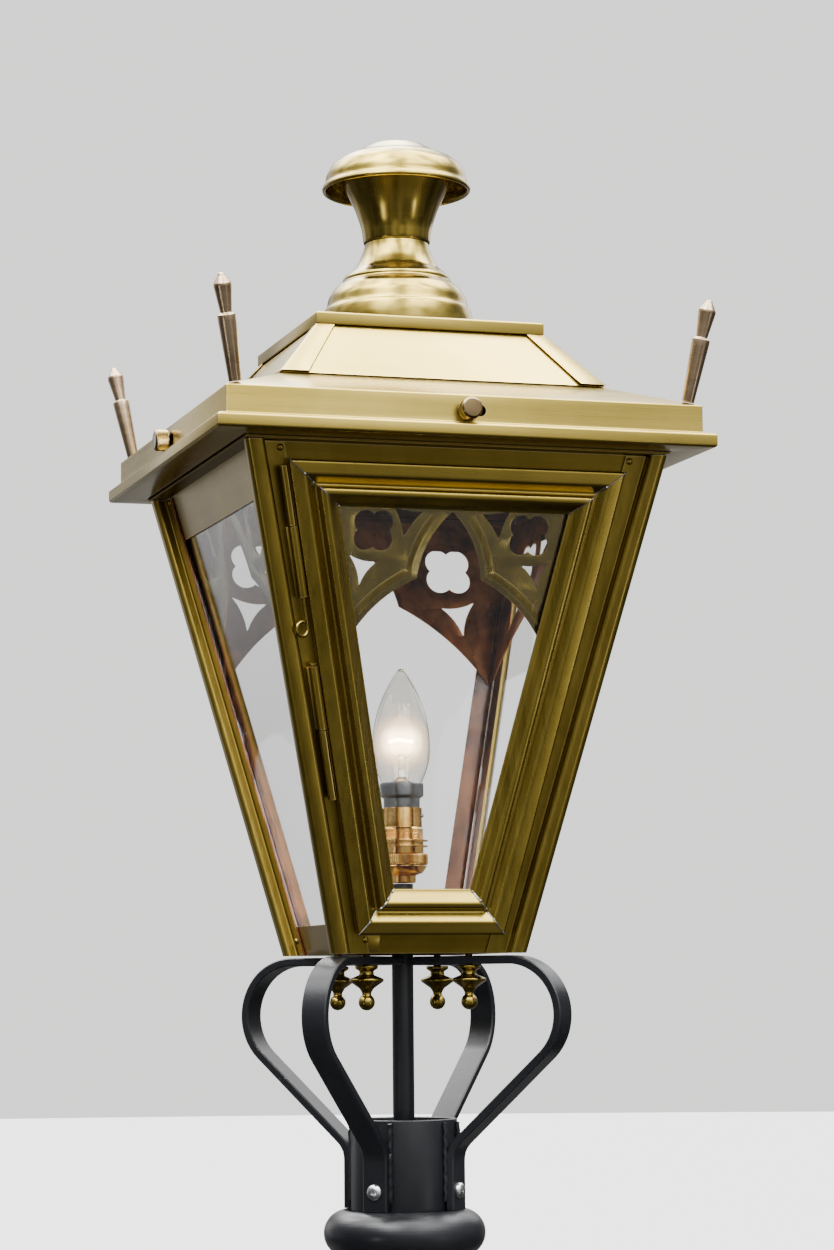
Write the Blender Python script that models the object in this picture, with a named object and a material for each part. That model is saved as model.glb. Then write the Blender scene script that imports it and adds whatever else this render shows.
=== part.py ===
"""A street lamp post: a tapered glass lantern on a four-arm cradle, on a turned post with a round base."""

import math

import bmesh
import bpy
from mathutils import Matrix, Vector

# Driving dimensions, in metres. Heights named *_Z under "lantern" are measured from the lantern's own base.
LANTERN_Z = 1.500  # the lantern's base above the ground
BODY_HALF_BASE = 0.060  # half the body's width, to the noses of the corner posts, at its base
BODY_HALF_TOP = 0.128  # the same at its top
BODY_HEIGHT = 0.290
GAP = 0.0003  # the gap left between touching pieces

SHEET = 0.0012  # brass sheet
GLASS = 0.0028
FLANGE_DEPTH = 0.008  # how far a corner post's flanges lie behind its nose
RAIL_DEPTH = 0.0095  # the rails lie just behind the flanges
PANE_DEPTH = 0.0110
FRET_DEPTH = 0.0141
FRET_SHEET = 0.0010

DOOR_TOP_Z = 0.281
DOOR_BOTTOM_Z = 0.012
DOOR_HALF_TOP = 0.1024
DOOR_HALF_BOTTOM = 0.0450
DOOR_BACK_DEPTH = 0.0077
DOOR_MOULDING_WIDTH = 0.0266
HINGE_AXIS_OUT = 0.0034  # how far the hinge axis stands outside the door's edge
HINGE_AXIS_DEPTH = 0.0025
KNUCKLE_RADIUS = 0.0028
KNUCKLE_BORE = 0.00135
PIN_RADIUS = 0.0010

FASCIA_HALF = 0.1435
LIP_HALF = 0.1500
ROOF_FOOT_HALF = 0.0990
ROOF_FOOT_Z = 0.3348
ROOF_TOP_HALF = 0.0683
ROOF_TOP_Z = 0.3713
THUMBSCREW_Z = 0.3087
THUMBSCREW_SHIFT = -0.0012

ARM_WIDTH = 0.016
ARM_THICKNESS = 0.005
ARM_BEND_DEG = 48.0
COLLAR_RADIUS = 0.032
COLLAR_TOP_Z = -0.0977
COLLAR_BOTTOM_Z = -0.1537
RING_Z = -0.1650
NUT_CIRCLE = 0.045  # the drop nuts' distance from the axis
TUBE_RADIUS = 0.0065
CAP_PIN_DEG = -16.7  # which way the bulb's bayonet pins point

BASE_RADIUS = 0.125
BASE_THICKNESS = 0.012
SHAFT_RADIUS = 0.030
COLUMN_TOP = 0.420

TAPER = (BODY_HALF_TOP - BODY_HALF_BASE) / BODY_HEIGHT
LEAN = math.atan(TAPER)

BRASS = (0.42, 0.33, 0.12)
GOLD = (0.80, 0.52, 0.16)
BLACK = (0.012, 0.014, 0.018)
CLEAR = (0.90, 0.93, 0.93)
GREY = (0.35, 0.36, 0.38)


def clear_scene():
    for obj in list(bpy.data.objects):
        bpy.data.objects.remove(obj, do_unlink=True)


def material(name, colour, roughness, metallic, alpha=1.0):
    made = bpy.data.materials.new(name)
    made.use_nodes = True
    shader = made.node_tree.nodes["Principled BSDF"]
    shader.inputs["Base Color"].default_value = (*colour, 1.0)
    shader.inputs["Roughness"].default_value = roughness
    shader.inputs["Metallic"].default_value = metallic
    shader.inputs["Alpha"].default_value = alpha
    return made


def brass(name):
    return material(name, BRASS, 0.35, 1.0)


def gold(name):
    return material(name, GOLD, 0.2, 1.0)


def grey(name):
    return material(name, GREY, 0.4, 0.8)


def black_paint(name):
    return material(name, BLACK, 0.38, 0.0)


def glass(name):
    return material(name, CLEAR, 0.05, 0.0, 0.3)


def object_from(name, bm, look, smooth=False):
    """A node from a closed bmesh in world metres."""
    bmesh.ops.recalc_face_normals(bm, faces=bm.faces)
    if bm.calc_volume(signed=True) < 0:
        bmesh.ops.reverse_faces(bm, faces=bm.faces)
    mesh = bpy.data.meshes.new(name)
    bm.to_mesh(mesh)
    bm.free()
    if smooth:
        mesh.shade_smooth()
        mesh.set_sharp_from_angle(angle=math.radians(35))
    obj = bpy.data.objects.new(name, mesh)
    obj.data.materials.append(look(name))
    bpy.context.scene.collection.objects.link(obj)
    return obj


def pivot(name, place):
    """An empty that stands on a joint's axis."""
    empty = bpy.data.objects.new(name, None)
    empty.location = place
    bpy.context.scene.collection.objects.link(empty)
    return empty


def hang(obj, empty):
    """Gives a piece built in world coordinates the empty as its parent and its origin."""
    obj.data.transform(Matrix.Translation(-empty.location))
    obj.parent = empty
    return obj


def cut(obj, cutter):
    """Takes a hidden cutter out of the object and applies the result."""
    cutter.hide_render = True
    cutter.display_type = "WIRE"
    modifier = obj.modifiers.new("cut", "BOOLEAN")
    modifier.operation = "DIFFERENCE"
    modifier.object = cutter
    return obj


def join_to(obj, other):
    """Unions another solid into the object. The other one stays as a hidden guide."""
    other.hide_render = True
    other.display_type = "WIRE"
    modifier = obj.modifiers.new("join", "BOOLEAN")
    modifier.operation = "UNION"
    modifier.object = other
    return obj


def swept(bm, profile, directions, closed, frame=Matrix.Identity(4)):
    """Carries a profile of (out, up) points round the axis. Points with out = 0 become one vertex.

    A closed profile makes a ring with a hole; an open one starts and ends on the axis.
    """
    columns = []
    on_axis = {}
    for dx, dy in directions:
        column = []
        for index, (out, up) in enumerate(profile):
            if out == 0.0:
                if index not in on_axis:
                    on_axis[index] = bm.verts.new(frame @ Vector((0.0, 0.0, up)))
                column.append(on_axis[index])
            else:
                column.append(bm.verts.new(frame @ Vector((dx * out, dy * out, up))))
        columns.append(column)
    count = len(profile)
    steps = count if closed else count - 1
    for index, column in enumerate(columns):
        following = columns[(index + 1) % len(columns)]
        for step in range(steps):
            after = (step + 1) % count
            corners = [column[step], following[step], following[after], column[after]]
            distinct = list(dict.fromkeys(corners))
            if len(distinct) > 2:
                bm.faces.new(distinct)
    return bm


def circle(segments):
    return [
        (math.cos(2 * math.pi * step / segments), math.sin(2 * math.pi * step / segments))
        for step in range(segments)
    ]


SQUARE = [(1, 1), (-1, 1), (-1, -1), (1, -1)]


def turned(name, profile, look, segments=24, closed=False, frame=Matrix.Identity(4)):
    """A round solid from (radius, height) points in millimetres."""
    points = [(radius / 1000, height / 1000) for radius, height in profile]
    bm = swept(bmesh.new(), points, circle(segments), closed, frame)
    return object_from(name, bm, look, smooth=True)


def square_ring(name, profile, look):
    """A square, mitred ring from (half width, lantern height) points in metres."""
    points = [(half, LANTERN_Z + height) for half, height in profile]
    return object_from(name, swept(bmesh.new(), points, SQUARE, True), look)


def loft(name, sections, look, smooth=False):
    """A closed solid through sections, each a list of the same number of world points."""
    bm = bmesh.new()
    rings = [[bm.verts.new(point) for point in section] for section in sections]
    for lower, upper in zip(rings, rings[1:]):
        for index, vert in enumerate(lower):
            after = (index + 1) % len(lower)
            bm.faces.new([vert, lower[after], upper[after], upper[index]])
    bm.faces.new(rings[0])
    bm.faces.new(rings[-1])
    return object_from(name, bm, look, smooth)


def block(name, low, high, look, frame=Matrix.Identity(4)):
    """A box between two corners given in metres, in the given frame."""
    section = [(low[0], low[1]), (high[0], low[1]), (high[0], high[1]), (low[0], high[1])]
    sections = [[frame @ Vector((x, y, z)) for x, y in section] for z in (low[2], high[2])]
    return loft(name, sections, look)


def plate(name, outlines, thickness, look, frame):
    """A flat plate: the first outline is its edge and the others are its holes."""
    curve = bpy.data.curves.new(name, "CURVE")
    curve.dimensions = "2D"
    curve.fill_mode = "BOTH"
    curve.extrude = thickness / 2
    for outline in outlines:
        spline = curve.splines.new("POLY")
        spline.points.add(len(outline) - 1)
        for point, (x, y) in zip(spline.points, outline):
            point.co = (x, y, 0.0, 1.0)
        spline.use_cyclic_u = True
    guide = bpy.data.objects.new(name + "_outline", curve)
    bpy.context.scene.collection.objects.link(guide)
    bm = bmesh.new()
    bm.from_mesh(bpy.data.meshes.new_from_object(guide))
    bpy.data.objects.remove(guide, do_unlink=True)
    bmesh.ops.remove_doubles(bm, verts=bm.verts, dist=1e-6)
    bm.transform(frame)
    return object_from(name, bm, look)


def body_half(height):
    """Half the body's width at a lantern height, to the noses of its corner posts."""
    return BODY_HALF_BASE + TAPER * height


def side_turn(side):
    """Sides 0 to 3 are front, right, back and left."""
    return Matrix.Rotation(math.radians(90 * side), 4, "Z")


def face_frame(side, depth):
    """A frame in a leaning side: X along it, Y up its slope from the base, Z outwards."""
    out = Matrix.Translation((0.0, -(BODY_HALF_BASE - depth), LANTERN_Z))
    leaning = Matrix.Rotation(math.pi / 2 + LEAN, 4, "X")
    return side_turn(side) @ out @ leaning


def up_slope(height):
    """A lantern height as a distance up a leaning side."""
    return height / math.cos(LEAN)


def offset_pane_frame(side, depth, thickness):
    return face_frame(side, depth + thickness / 2)


# Post: base plate, column, shaft and head.


def base_flange():
    edge = BASE_RADIUS * 1000
    thick = BASE_THICKNESS * 1000
    profile = [
        (22, 0), (edge, 0), (edge, thick - 3), (edge - 3, thick), (22, thick),
    ]
    flange = turned("base_flange", profile, black_paint, 40, closed=True)
    for corner in range(4):
        angle = math.radians(45 + 90 * corner)
        place = Matrix.Translation((0.100 * math.cos(angle), 0.100 * math.sin(angle), 0.0))
        hole = [(0, 20), (7, 20), (7, -5), (0, -5)]
        cut(flange, turned(f"anchor_hole_{corner}", hole, black_paint, 16, frame=place))


def base_column():
    foot = (BASE_THICKNESS + GAP) * 1000
    top = COLUMN_TOP * 1000
    profile = [
        (31, foot), (78, foot), (80, foot + 8), (78, foot + 16), (70, foot + 20),
        (66, foot + 34), (56, foot + 58), (50, foot + 70), (46, top - 60), (44, top - 40),
        (51, top - 32), (53, top - 24), (51, top - 16), (42, top - 12), (38, top), (31, top),
    ]
    turned("base_column", profile, black_paint, 24, closed=True)


def post_shaft():
    low = (BASE_THICKNESS + GAP) * 1000
    high = (LANTERN_Z + RING_Z - 0.0145) * 1000
    outer = SHAFT_RADIUS * 1000
    profile = [(26.5, low), (outer, low), (outer, high), (26.5, high)]
    turned("post_shaft", profile, black_paint, 28, closed=True)


def post_head():
    """The turned head: a plug into the shaft, the fat ring, and the spigot that takes the cradle's collar."""
    ring = RING_Z * 1000
    bead = [
        (34.5 + 14 * math.cos(angle), ring + 14 * math.sin(angle))
        for angle in (math.radians(-80 + 20 * step) for step in range(9))
    ]
    profile = [(6.9, ring - 54), (26.1, ring - 54), (26.1, ring - 14.2), (34, ring - 14.2)]
    profile += bead
    profile += [(33.6, ring + 13.4), (32.6, ring + 11.0), (28.6, ring + 11.0), (28.6, ring + 52)]
    profile += [(27, ring + 54), (6.9, ring + 54)]
    frame = Matrix.Translation((0.0, 0.0, LANTERN_Z))
    turned("post_head", profile, black_paint, 24, closed=True, frame=frame)


# Cradle: a collar, four bent flat-bar arms, four drop nuts and the lamp tube.


def cradle_collar():
    low = COLLAR_BOTTOM_Z * 1000 + 0.3
    high = COLLAR_TOP_Z * 1000
    outer = COLLAR_RADIUS * 1000
    profile = [(29, low), (outer, low), (outer, high - 1), (outer - 1, high), (29, high)]
    frame = Matrix.Translation((0, 0, LANTERN_Z))
    turned("cradle_collar", profile, black_paint, 32, closed=True, frame=frame)


def arm_path():
    """The outer line of a cradle arm as (distance from the axis, lantern height), from its ear to its foot."""
    centre, top, radius = 0.074, -0.0010, 0.035
    bend = math.radians(ARM_BEND_DEG)
    leg = COLLAR_RADIUS + GAP + ARM_THICKNESS
    path = [(0.012, top)]
    steps = 9
    for step in range(steps + 1):
        angle = math.pi / 2 - (math.pi / 2 + bend) * step / steps
        path.append((centre + radius * math.cos(angle), top - radius + radius * math.sin(angle)))
    out, up = path[-1]
    run = (out - leg) / math.sin(bend)
    path.append((leg, up - run * math.cos(bend)))
    path.append((leg, -0.1510))
    return path


def inner_path(path, thickness):
    """The path moved inwards by the bar's thickness, mitred at its bends."""
    moved = []
    for index, point in enumerate(path):
        before = Vector(path[max(index - 1, 0)])
        here = Vector(point)
        after = Vector(path[min(index + 1, len(path) - 1)])
        normals = []
        for start, end in ((before, here), (here, after)):
            run = end - start
            if run.length > 0:
                normals.append(Vector((run.y, -run.x)).normalized())
        mean = sum(normals, Vector((0.0, 0.0))).normalized()
        moved.append(here + mean * (thickness / mean.dot(normals[0])))
    return moved


def cradle_arm(name, quarter):
    lantern = Matrix.Translation((0, 0, LANTERN_Z))
    turn = lantern @ Matrix.Rotation(math.radians(45 + 90 * quarter), 4, "Z")
    outer = arm_path()
    inner = inner_path(outer, ARM_THICKNESS)
    sections = [
        [
            turn @ Vector((line[index][0], side * ARM_WIDTH / 2, line[index][1]))
            for line, side in ((outer, -1), (outer, 1), (inner, 1), (inner, -1))
        ]
        for index in range(len(outer))
    ]
    arm = loft(name, sections, black_paint)
    place = turn @ Matrix.Translation((NUT_CIRCLE, 0, 0))
    hole = [(0, 5), (2.7, 5), (2.7, -12), (0, -12)]
    cut(arm, turned(name + "_hole", hole, black_paint, 12, frame=place))


def drop_nut(name, quarter):
    """A turned acorn nut with the stud that it runs on."""
    turn = Matrix.Rotation(math.radians(45 + 90 * quarter), 4, "Z")
    place = turn @ Matrix.Translation((NUT_CIRCLE, 0, LANTERN_Z))
    ball = [
        (4.9 * math.cos(angle), -28.1 + 4.9 * math.sin(angle))
        for angle in (math.radians(55 - 29 * step) for step in range(5))
    ]
    profile = [(0, 7), (2.2, 7), (2.2, -6.4), (6.8, -6.4), (6.8, -8.2), (4.2, -9.8), (4.4, -12)]
    profile += [(10.2, -14.4), (10.2, -15.8), (4.2, -20), (2.7, -22.6)] + ball + [(0, -33)]
    turned(name, profile, brass, 12, frame=place)


def lamp_tube():
    frame = Matrix.Translation((0, 0, LANTERN_Z))
    outer = TUBE_RADIUS * 1000
    profile = [(4.8, -150), (outer, -150), (outer, 43.0), (4.8, 43.0)]
    turned("lamp_tube", profile, black_paint, 20, closed=True, frame=frame)


# Lamp: a bayonet holder on the tube, and a candle bulb in it.


def holder_base():
    profile = [
        (6.8, 43.6), (8.2, 43.6), (8.2, 48), (12.5, 49.6), (15.2, 53.9), (11.6, 53.9),
        (11.6, 51.2), (6.8, 50.2),
    ]
    turned("holder_base", profile, gold, 20, closed=True, frame=Matrix.Translation((0, 0, LANTERN_Z)))


def holder_ring():
    profile = [(12.2, 54.2), (14.8, 54.2), (15.6, 55), (15.6, 60.4), (14.8, 61.2), (12.2, 61.2)]
    turned("holder_ring", profile, gold, 24, closed=True, frame=Matrix.Translation((0, 0, LANTERN_Z)))


def holder_shell():
    """The holder's shell, with the two bayonet slots that the bulb's pins move in."""
    profile = [
        (11.35, 61.5), (13.0, 61.5), (13.0, 65.2), (15.7, 65.2), (15.7, 66.0), (13.0, 66.0),
        (13.0, 68.6), (15.7, 68.6), (15.7, 69.4), (13.0, 69.4), (13.0, 76.0), (12.2, 77.0),
        (12.2, 88.8), (11.35, 88.8),
    ]
    frame = Matrix.Translation((0, 0, LANTERN_Z))
    shell = turned("holder_shell", profile, gold, 20, closed=True, frame=frame)
    for half in range(2):
        pin_deg = CAP_PIN_DEG + 180 * half
        for low, high, first, last in ((80.0, 85.6, -8, 26), (84.0, 95.0, 14, 26)):
            angles = [math.radians(pin_deg + first + (last - first) * step / 4) for step in range(5)]
            section = [(0.009 * math.cos(a), 0.009 * math.sin(a)) for a in angles]
            section += [(0.017 * math.cos(a), 0.017 * math.sin(a)) for a in reversed(angles)]
            sections = [[Vector((x, y, LANTERN_Z + z / 1000)) for x, y in section] for z in (low, high)]
            cut(shell, loft(f"bayonet_slot_{half}_{low:.0f}", sections, gold))


def holder_plungers(axis):
    """The insulator block and its two sprung contacts, which sink as the bulb is pushed."""
    frame = Matrix.Translation((0, 0, LANTERN_Z))
    block_profile = [(0, 76), (10.6, 76), (10.6, 70), (0, 70)]
    insulator = hang(turned("holder_plungers", block_profile, grey, 20, frame=frame), axis)
    angle = math.radians(CAP_PIN_DEG + 90)
    for sign in (-1, 1):
        out = sign * 0.0045
        place = Matrix.Translation((out * math.cos(angle), out * math.sin(angle), LANTERN_Z))
        contact = [(0, 79.1), (2, 79.1), (2, 73), (0, 73)]
        join_to(insulator, hang(turned(f"contact_{sign}", contact, grey, 10, frame=place), axis))


def bulb_cap(axis):
    frame = Matrix.Translation((0, 0, LANTERN_Z))
    profile = [
        (0, 104.3), (12.6, 104.3), (13.3, 103.4), (13.3, 96.2), (12.6, 95.6), (11, 94.6),
        (11, 81), (9.5, 79.5), (0, 79.5),
    ]
    cap = hang(turned("bulb_cap", profile, grey, 24, frame=frame), axis)
    place = Matrix.Translation((0, 0, LANTERN_Z + 0.0841))
    place = place @ Matrix.Rotation(math.radians(CAP_PIN_DEG), 4, "Z") @ Matrix.Rotation(math.pi / 2, 4, "Y")
    pin = [(0, 13.2), (1.0, 13.2), (1.0, -13.2), (0, -13.2)]
    join_to(cap, hang(turned("cap_pins", pin, grey, 10, frame=place), axis))


def bulb_glass(axis):
    """A candle bulb's envelope: a thin shell, open at its neck."""
    outer = [
        (12.4, 104.6), (14.6, 109), (16.9, 117), (17.5, 126), (16.7, 138), (13.6, 150), (9.3, 160), (4.6, 169),
    ]
    inner = [(max(radius - 1.0, 0.0), height) for radius, height in reversed(outer)]
    inner[0] = (3.6, 168)
    profile = [(0, 174), (1.8, 173.2)] + list(reversed(outer)) + list(reversed(inner)) + [(0, 171.5)]
    hang(turned("bulb_glass", profile, glass, 16, frame=Matrix.Translation((0, 0, LANTERN_Z))), axis)


# Lantern body: floor, frames, corner posts, panes and frets.


def base_plate():
    frame = Matrix.Translation((0, 0, LANTERN_Z + 0.0026))
    half = 0.0480
    edge = [(half * x, half * y) for x, y in SQUARE]
    holes = [[(0.0072 * x, 0.0072 * y) for x, y in circle(20)]]
    for corner_x, corner_y in SQUARE:
        middle = NUT_CIRCLE * math.cos(math.pi / 4)
        holes.append([(corner_x * middle + 0.0028 * x, corner_y * middle + 0.0028 * y) for x, y in circle(12)])
    plate("base_plate", [edge] + holes, 0.0015, brass, frame)


def bottom_frame():
    low, high = 0.0003, 0.0180
    profile = [
        (body_half(low) - RAIL_DEPTH, low),
        (body_half(high) - RAIL_DEPTH, high),
        (body_half(high) - RAIL_DEPTH - SHEET, high),
        (body_half(low + SHEET) - RAIL_DEPTH - SHEET, low + SHEET),
        (0.0370, low + SHEET),
        (0.0370, low),
    ]
    square_ring("bottom_frame", profile, brass)


def top_frame():
    """The top rails, the ledge that the roof stands on, and the upstand with a notch for each thumbscrew."""
    low, ledge, high = 0.2620, 0.2906, 0.3222
    profile = [
        (body_half(low) - RAIL_DEPTH, low),
        (body_half(ledge) - RAIL_DEPTH, ledge),
        (BODY_HALF_TOP + 0.0002, ledge),
        (BODY_HALF_TOP + 0.0002, ledge + SHEET),
        (body_half(ledge + SHEET) - RAIL_DEPTH, ledge + SHEET),
        (body_half(high) - RAIL_DEPTH, high),
        (body_half(high) - RAIL_DEPTH - SHEET, high),
        (body_half(low) - RAIL_DEPTH - SHEET, low),
    ]
    frame = square_ring("top_frame", profile, brass)
    for side in range(4):
        place = side_turn(side) @ Matrix.Translation((THUMBSCREW_SHIFT, 0, LANTERN_Z))
        low_corner = (-0.0026, -0.1400, THUMBSCREW_Z - 0.0026)
        high_corner = (0.0026, -0.1100, 0.3300)
        cut(frame, block(f"notch_{side}", low_corner, high_corner, brass, place))


def corner_post(name, quarter):
    """A tapering post: a rounded nose between two flanges, all in one folded strip with its corner filled."""
    nose = [(11.5, 2.6), (9.2, 0.3), (3.4, 0.0), (1.0, 1.0), (0.0, 3.4), (0.3, 9.2), (2.6, 11.5)]
    flange = FLANGE_DEPTH * 1000
    back = flange + SHEET * 1000
    section = [(24, flange), (11.5, flange)] + nose + [(flange, 11.5), (flange, 24)]
    section += [(back, 24), (back, back), (24, back)]
    turn = side_turn(quarter)
    sections = []
    for height in (0.0003, BODY_HEIGHT):
        half = body_half(height)
        points = [Vector((-(half - u / 1000), -(half - v / 1000), LANTERN_Z + height)) for u, v in section]
        sections.append([turn @ point for point in points])
    return loft(name, sections, brass)


def glass_pane(name, side):
    low, high = 0.0040, 0.2840
    outline = [
        (sign * (body_half(height) - 0.0155), up_slope(height))
        for height, sign in ((low, -1), (low, 1), (high, 1), (high, -1))
    ]
    plate(name, [outline], GLASS, glass, offset_pane_frame(side, PANE_DEPTH, GLASS))


def arc_between(start, end, bulge, steps):
    """Points from start up to but not including end, on an arc that bulges to the left of the way."""
    (x0, y0), (x1, y1) = start, end
    chord = math.hypot(x1 - x0, y1 - y0)
    points = []
    for step in range(steps):
        along = step / steps
        rise = 4 * bulge * along * (1 - along)
        points.append(
            (
                x0 + (x1 - x0) * along - (y1 - y0) / chord * rise,
                y0 + (y1 - y0) * along + (x1 - x0) / chord * rise,
            )
        )
    return points


def quatrefoil(centre, reach, lobe, steps):
    """Four round lobes on the diagonals, meeting in blunt cusps."""
    sweep = 135 - math.degrees(math.acos(reach * math.sin(math.pi / 4) / lobe))
    points = []
    for quarter in range(4):
        angle = math.radians(45 + 90 * quarter)
        middle = (centre[0] + reach * math.cos(angle), centre[1] + reach * math.sin(angle))
        for step in range(steps):
            turn = angle + math.radians(-sweep + 2 * sweep * step / steps)
            points.append((middle[0] + lobe * math.cos(turn), middle[1] + lobe * math.sin(turn)))
    return points


def curved_triangle(corners, bulge):
    """A small three-cornered hole whose sides bow inwards."""
    points = []
    for index, corner in enumerate(corners):
        points += arc_between(corner, corners[(index + 1) % 3], bulge, 3)
    return points


def mirrored(points):
    return [(-x, y) for x, y in reversed(points)]


def fret_outlines(half_at, top, apex, cusp, ends, swell, foil, lobes, lower, upper):
    """A pointed, cusped arch with a quatrefoil and two curved triangles in each spandrel.

    half_at gives the plate's half width at a lantern height. The rest is millimetres across and
    down from the apex: the arch's cusp and end, how far its sides swell, the quatrefoil's middle
    and its lobes' reach and radius, and the corners of the two triangles.
    """

    def at(x, down):
        return (x / 1000, up_slope(apex - down / 1000))

    end_height = apex - ends[1] / 1000
    right = arc_between(at(0, 0), at(*cusp), 1.15 * swell / 1000, 5)
    right += arc_between(at(*cusp), at(*ends), swell / 1000, 5)
    right.append(at(*ends))
    edge = [(-half_at(top), up_slope(top))]
    edge.append((-half_at(end_height), up_slope(end_height)))
    edge += mirrored(right)[:-1] + right
    edge.append((half_at(end_height), up_slope(end_height)))
    edge.append((half_at(top), up_slope(top)))
    hole_foil = quatrefoil(at(*foil), lobes[0] / 1000, lobes[1] / 1000, 6)
    hole_lower = curved_triangle([at(*corner) for corner in lower], 0.0004 * swell)
    hole_upper = curved_triangle([at(*corner) for corner in upper], 0.0002 * swell)
    holes = [hole_foil, hole_lower, hole_upper]
    return [edge] + holes + [mirrored(hole) for hole in holes]


def side_fret(name, side):
    outlines = fret_outlines(
        lambda height: body_half(height) - 0.0170, 0.2800, 0.2650, (28.4, 41.1), (83.5, 90.0), 4.8,
        (63.3, 17.0), (8.6, 8.5), [(79.5, 37.1), (56.7, 41.4), (70.5, 60.3)],
        [(47.0, -2.0), (24.0, 1.2), (38.7, 20.1)],
    )
    plate(name, outlines, FRET_SHEET, brass, offset_pane_frame(side, FRET_DEPTH, FRET_SHEET))


# Door: four mitred mouldings, a pane, a fret and the hinge.


def door_half(height):
    share = (height - DOOR_BOTTOM_Z) / (DOOR_TOP_Z - DOOR_BOTTOM_Z)
    return DOOR_HALF_BOTTOM + (DOOR_HALF_TOP - DOOR_HALF_BOTTOM) * share


def door_corner(inset, corner):
    """A corner of the door's outline moved in from every edge, in the face's own X and Y."""
    low, high = up_slope(DOOR_BOTTOM_Z), up_slope(DOOR_TOP_Z)
    slant = (DOOR_HALF_TOP - DOOR_HALF_BOTTOM) / (high - low)
    stretch = math.hypot(1.0, slant)
    height = high - inset if corner in (0, 1) else low + inset
    half = DOOR_HALF_BOTTOM + slant * (height - low) - inset * stretch
    return (-half if corner in (0, 3) else half), height


DOOR_SECTION = [
    (0.0, 0.0), (0.0, 5.2), (1.0, 6.2), (8.6, 6.6), (9.7, 5.8), (10.6, 3.4), (16.6, 3.0),
    (18.2, 5.6), (19.6, 6.6), (21.4, 6.0), (25.4, 1.6), (26.6, 0.0),
]


def door_member(name, first, second, axis):
    """One moulding, mitred at both ends, from one corner of the door to the next."""
    frame = face_frame(0, DOOR_BACK_DEPTH)
    ends = []
    for here, there in ((first, second), (second, first)):
        section = []
        for inset, rise in DOOR_SECTION:
            start = Vector((*door_corner(inset / 1000, here), rise / 1000))
            towards = Vector((*door_corner(inset / 1000, there), rise / 1000))
            mitre_gap = 0.00025 * (towards - start).normalized()
            section.append(frame @ (start + mitre_gap))
        ends.append(section)
    return hang(loft(name, ends, brass), axis)


def hinge_point(height):
    """The point of the hinge axis at a lantern height."""
    x = -(door_half(height) + HINGE_AXIS_OUT)
    return Vector((x, -(body_half(height) - HINGE_AXIS_DEPTH), LANTERN_Z + height))


def along_hinge(height):
    """A frame whose Z runs up the hinge axis and whose X points towards the door."""
    up = (hinge_point(0.3) - hinge_point(0.0)).normalized()
    out = Vector((0, 1, 0)).cross(up).normalized()
    across = up.cross(out)
    frame = Matrix((out, across, up)).transposed().to_4x4()
    frame.translation = hinge_point(height)
    return frame


def hinge_length(low, high):
    return (hinge_point(high) - hinge_point(low)).length


def knuckle(name, low, high, towards_door, look):
    """A rolled knuckle with its leaf, on the door's side or on the frame's side."""
    length = hinge_length(low, high)
    frame = along_hinge(low)
    outer, bore = KNUCKLE_RADIUS * 1000, KNUCKLE_BORE * 1000
    tube = [(bore, 0), (outer, 0), (outer, length * 1000), (bore, length * 1000)]
    if towards_door:
        low_corner, high_corner = (0.0016, 0.0006, 0.0004), (0.0056, 0.0022, length - 0.0004)
    else:
        low_corner, high_corner = (-0.0040, 0.0016, 0.0004), (0.0010, 0.0062, length - 0.0004)
    leaf = block(name + "_leaf", low_corner, high_corner, look, frame)
    made = turned(name, tube, look, 12, closed=True, frame=frame)
    return made, leaf


def frame_knuckle(post, name, low, high):
    """A knuckle soldered to the corner post, with its leaf let into the post's flange."""
    for piece in knuckle(name, low, high, False, brass):
        join_to(post, piece)


def door_knuckle(stile, name, low, high, axis):
    made, leaf = knuckle(name, low, high, True, brass)
    for piece in (made, leaf):
        hang(piece, axis)
        join_to(stile, piece)


def looped_pin(axis):
    """The removable hinge wire, ending in a loop that is pulled to draw it out."""
    top, bottom, loop_radius, sides = 0.2720, 0.1880, 0.0042, 8
    frame = along_hinge(bottom)
    length = hinge_length(bottom, top)
    turn_out = math.radians(40)  # the loop is bent forwards, clear of the post's nose
    away = Vector((-math.cos(turn_out), -math.sin(turn_out), 0.0))
    sideways = Vector((math.sin(turn_out), -math.cos(turn_out), 0.0))
    centre = loop_radius * away + Vector((0.0, 0.0, -0.0022))
    path = [Vector((0, 0, length)), Vector((0, 0, 0))]
    for step in range(9):
        angle = math.radians(-36 * step)
        path.append(centre + loop_radius * (Vector((0, 0, math.sin(angle))) - math.cos(angle) * away))
    sections = []
    for index, point in enumerate(path):
        before = path[max(index - 1, 0)]
        after = path[min(index + 1, len(path) - 1)]
        forward = (after - before).normalized()
        normal = forward.cross(sideways)
        ring = []
        for side in range(sides):
            angle = 2 * math.pi * side / sides
            offset = math.cos(angle) * sideways + math.sin(angle) * normal
            ring.append(frame @ (point + PIN_RADIUS * offset))
        sections.append(ring)
    hang(loft("hinge_pin_upper", sections, brass, smooth=True), axis)


def lower_pin():
    low, high = 0.0900, 0.1640
    frame = along_hinge(low)
    length = hinge_length(low, high) * 1000
    profile = [(0, length + 2), (2.2, length + 2), (2.2, length + 1.2), (1, length + 1.2), (1, 0), (0, 0)]
    turned("hinge_pin_lower", profile, brass, 10, frame=frame)


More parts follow.
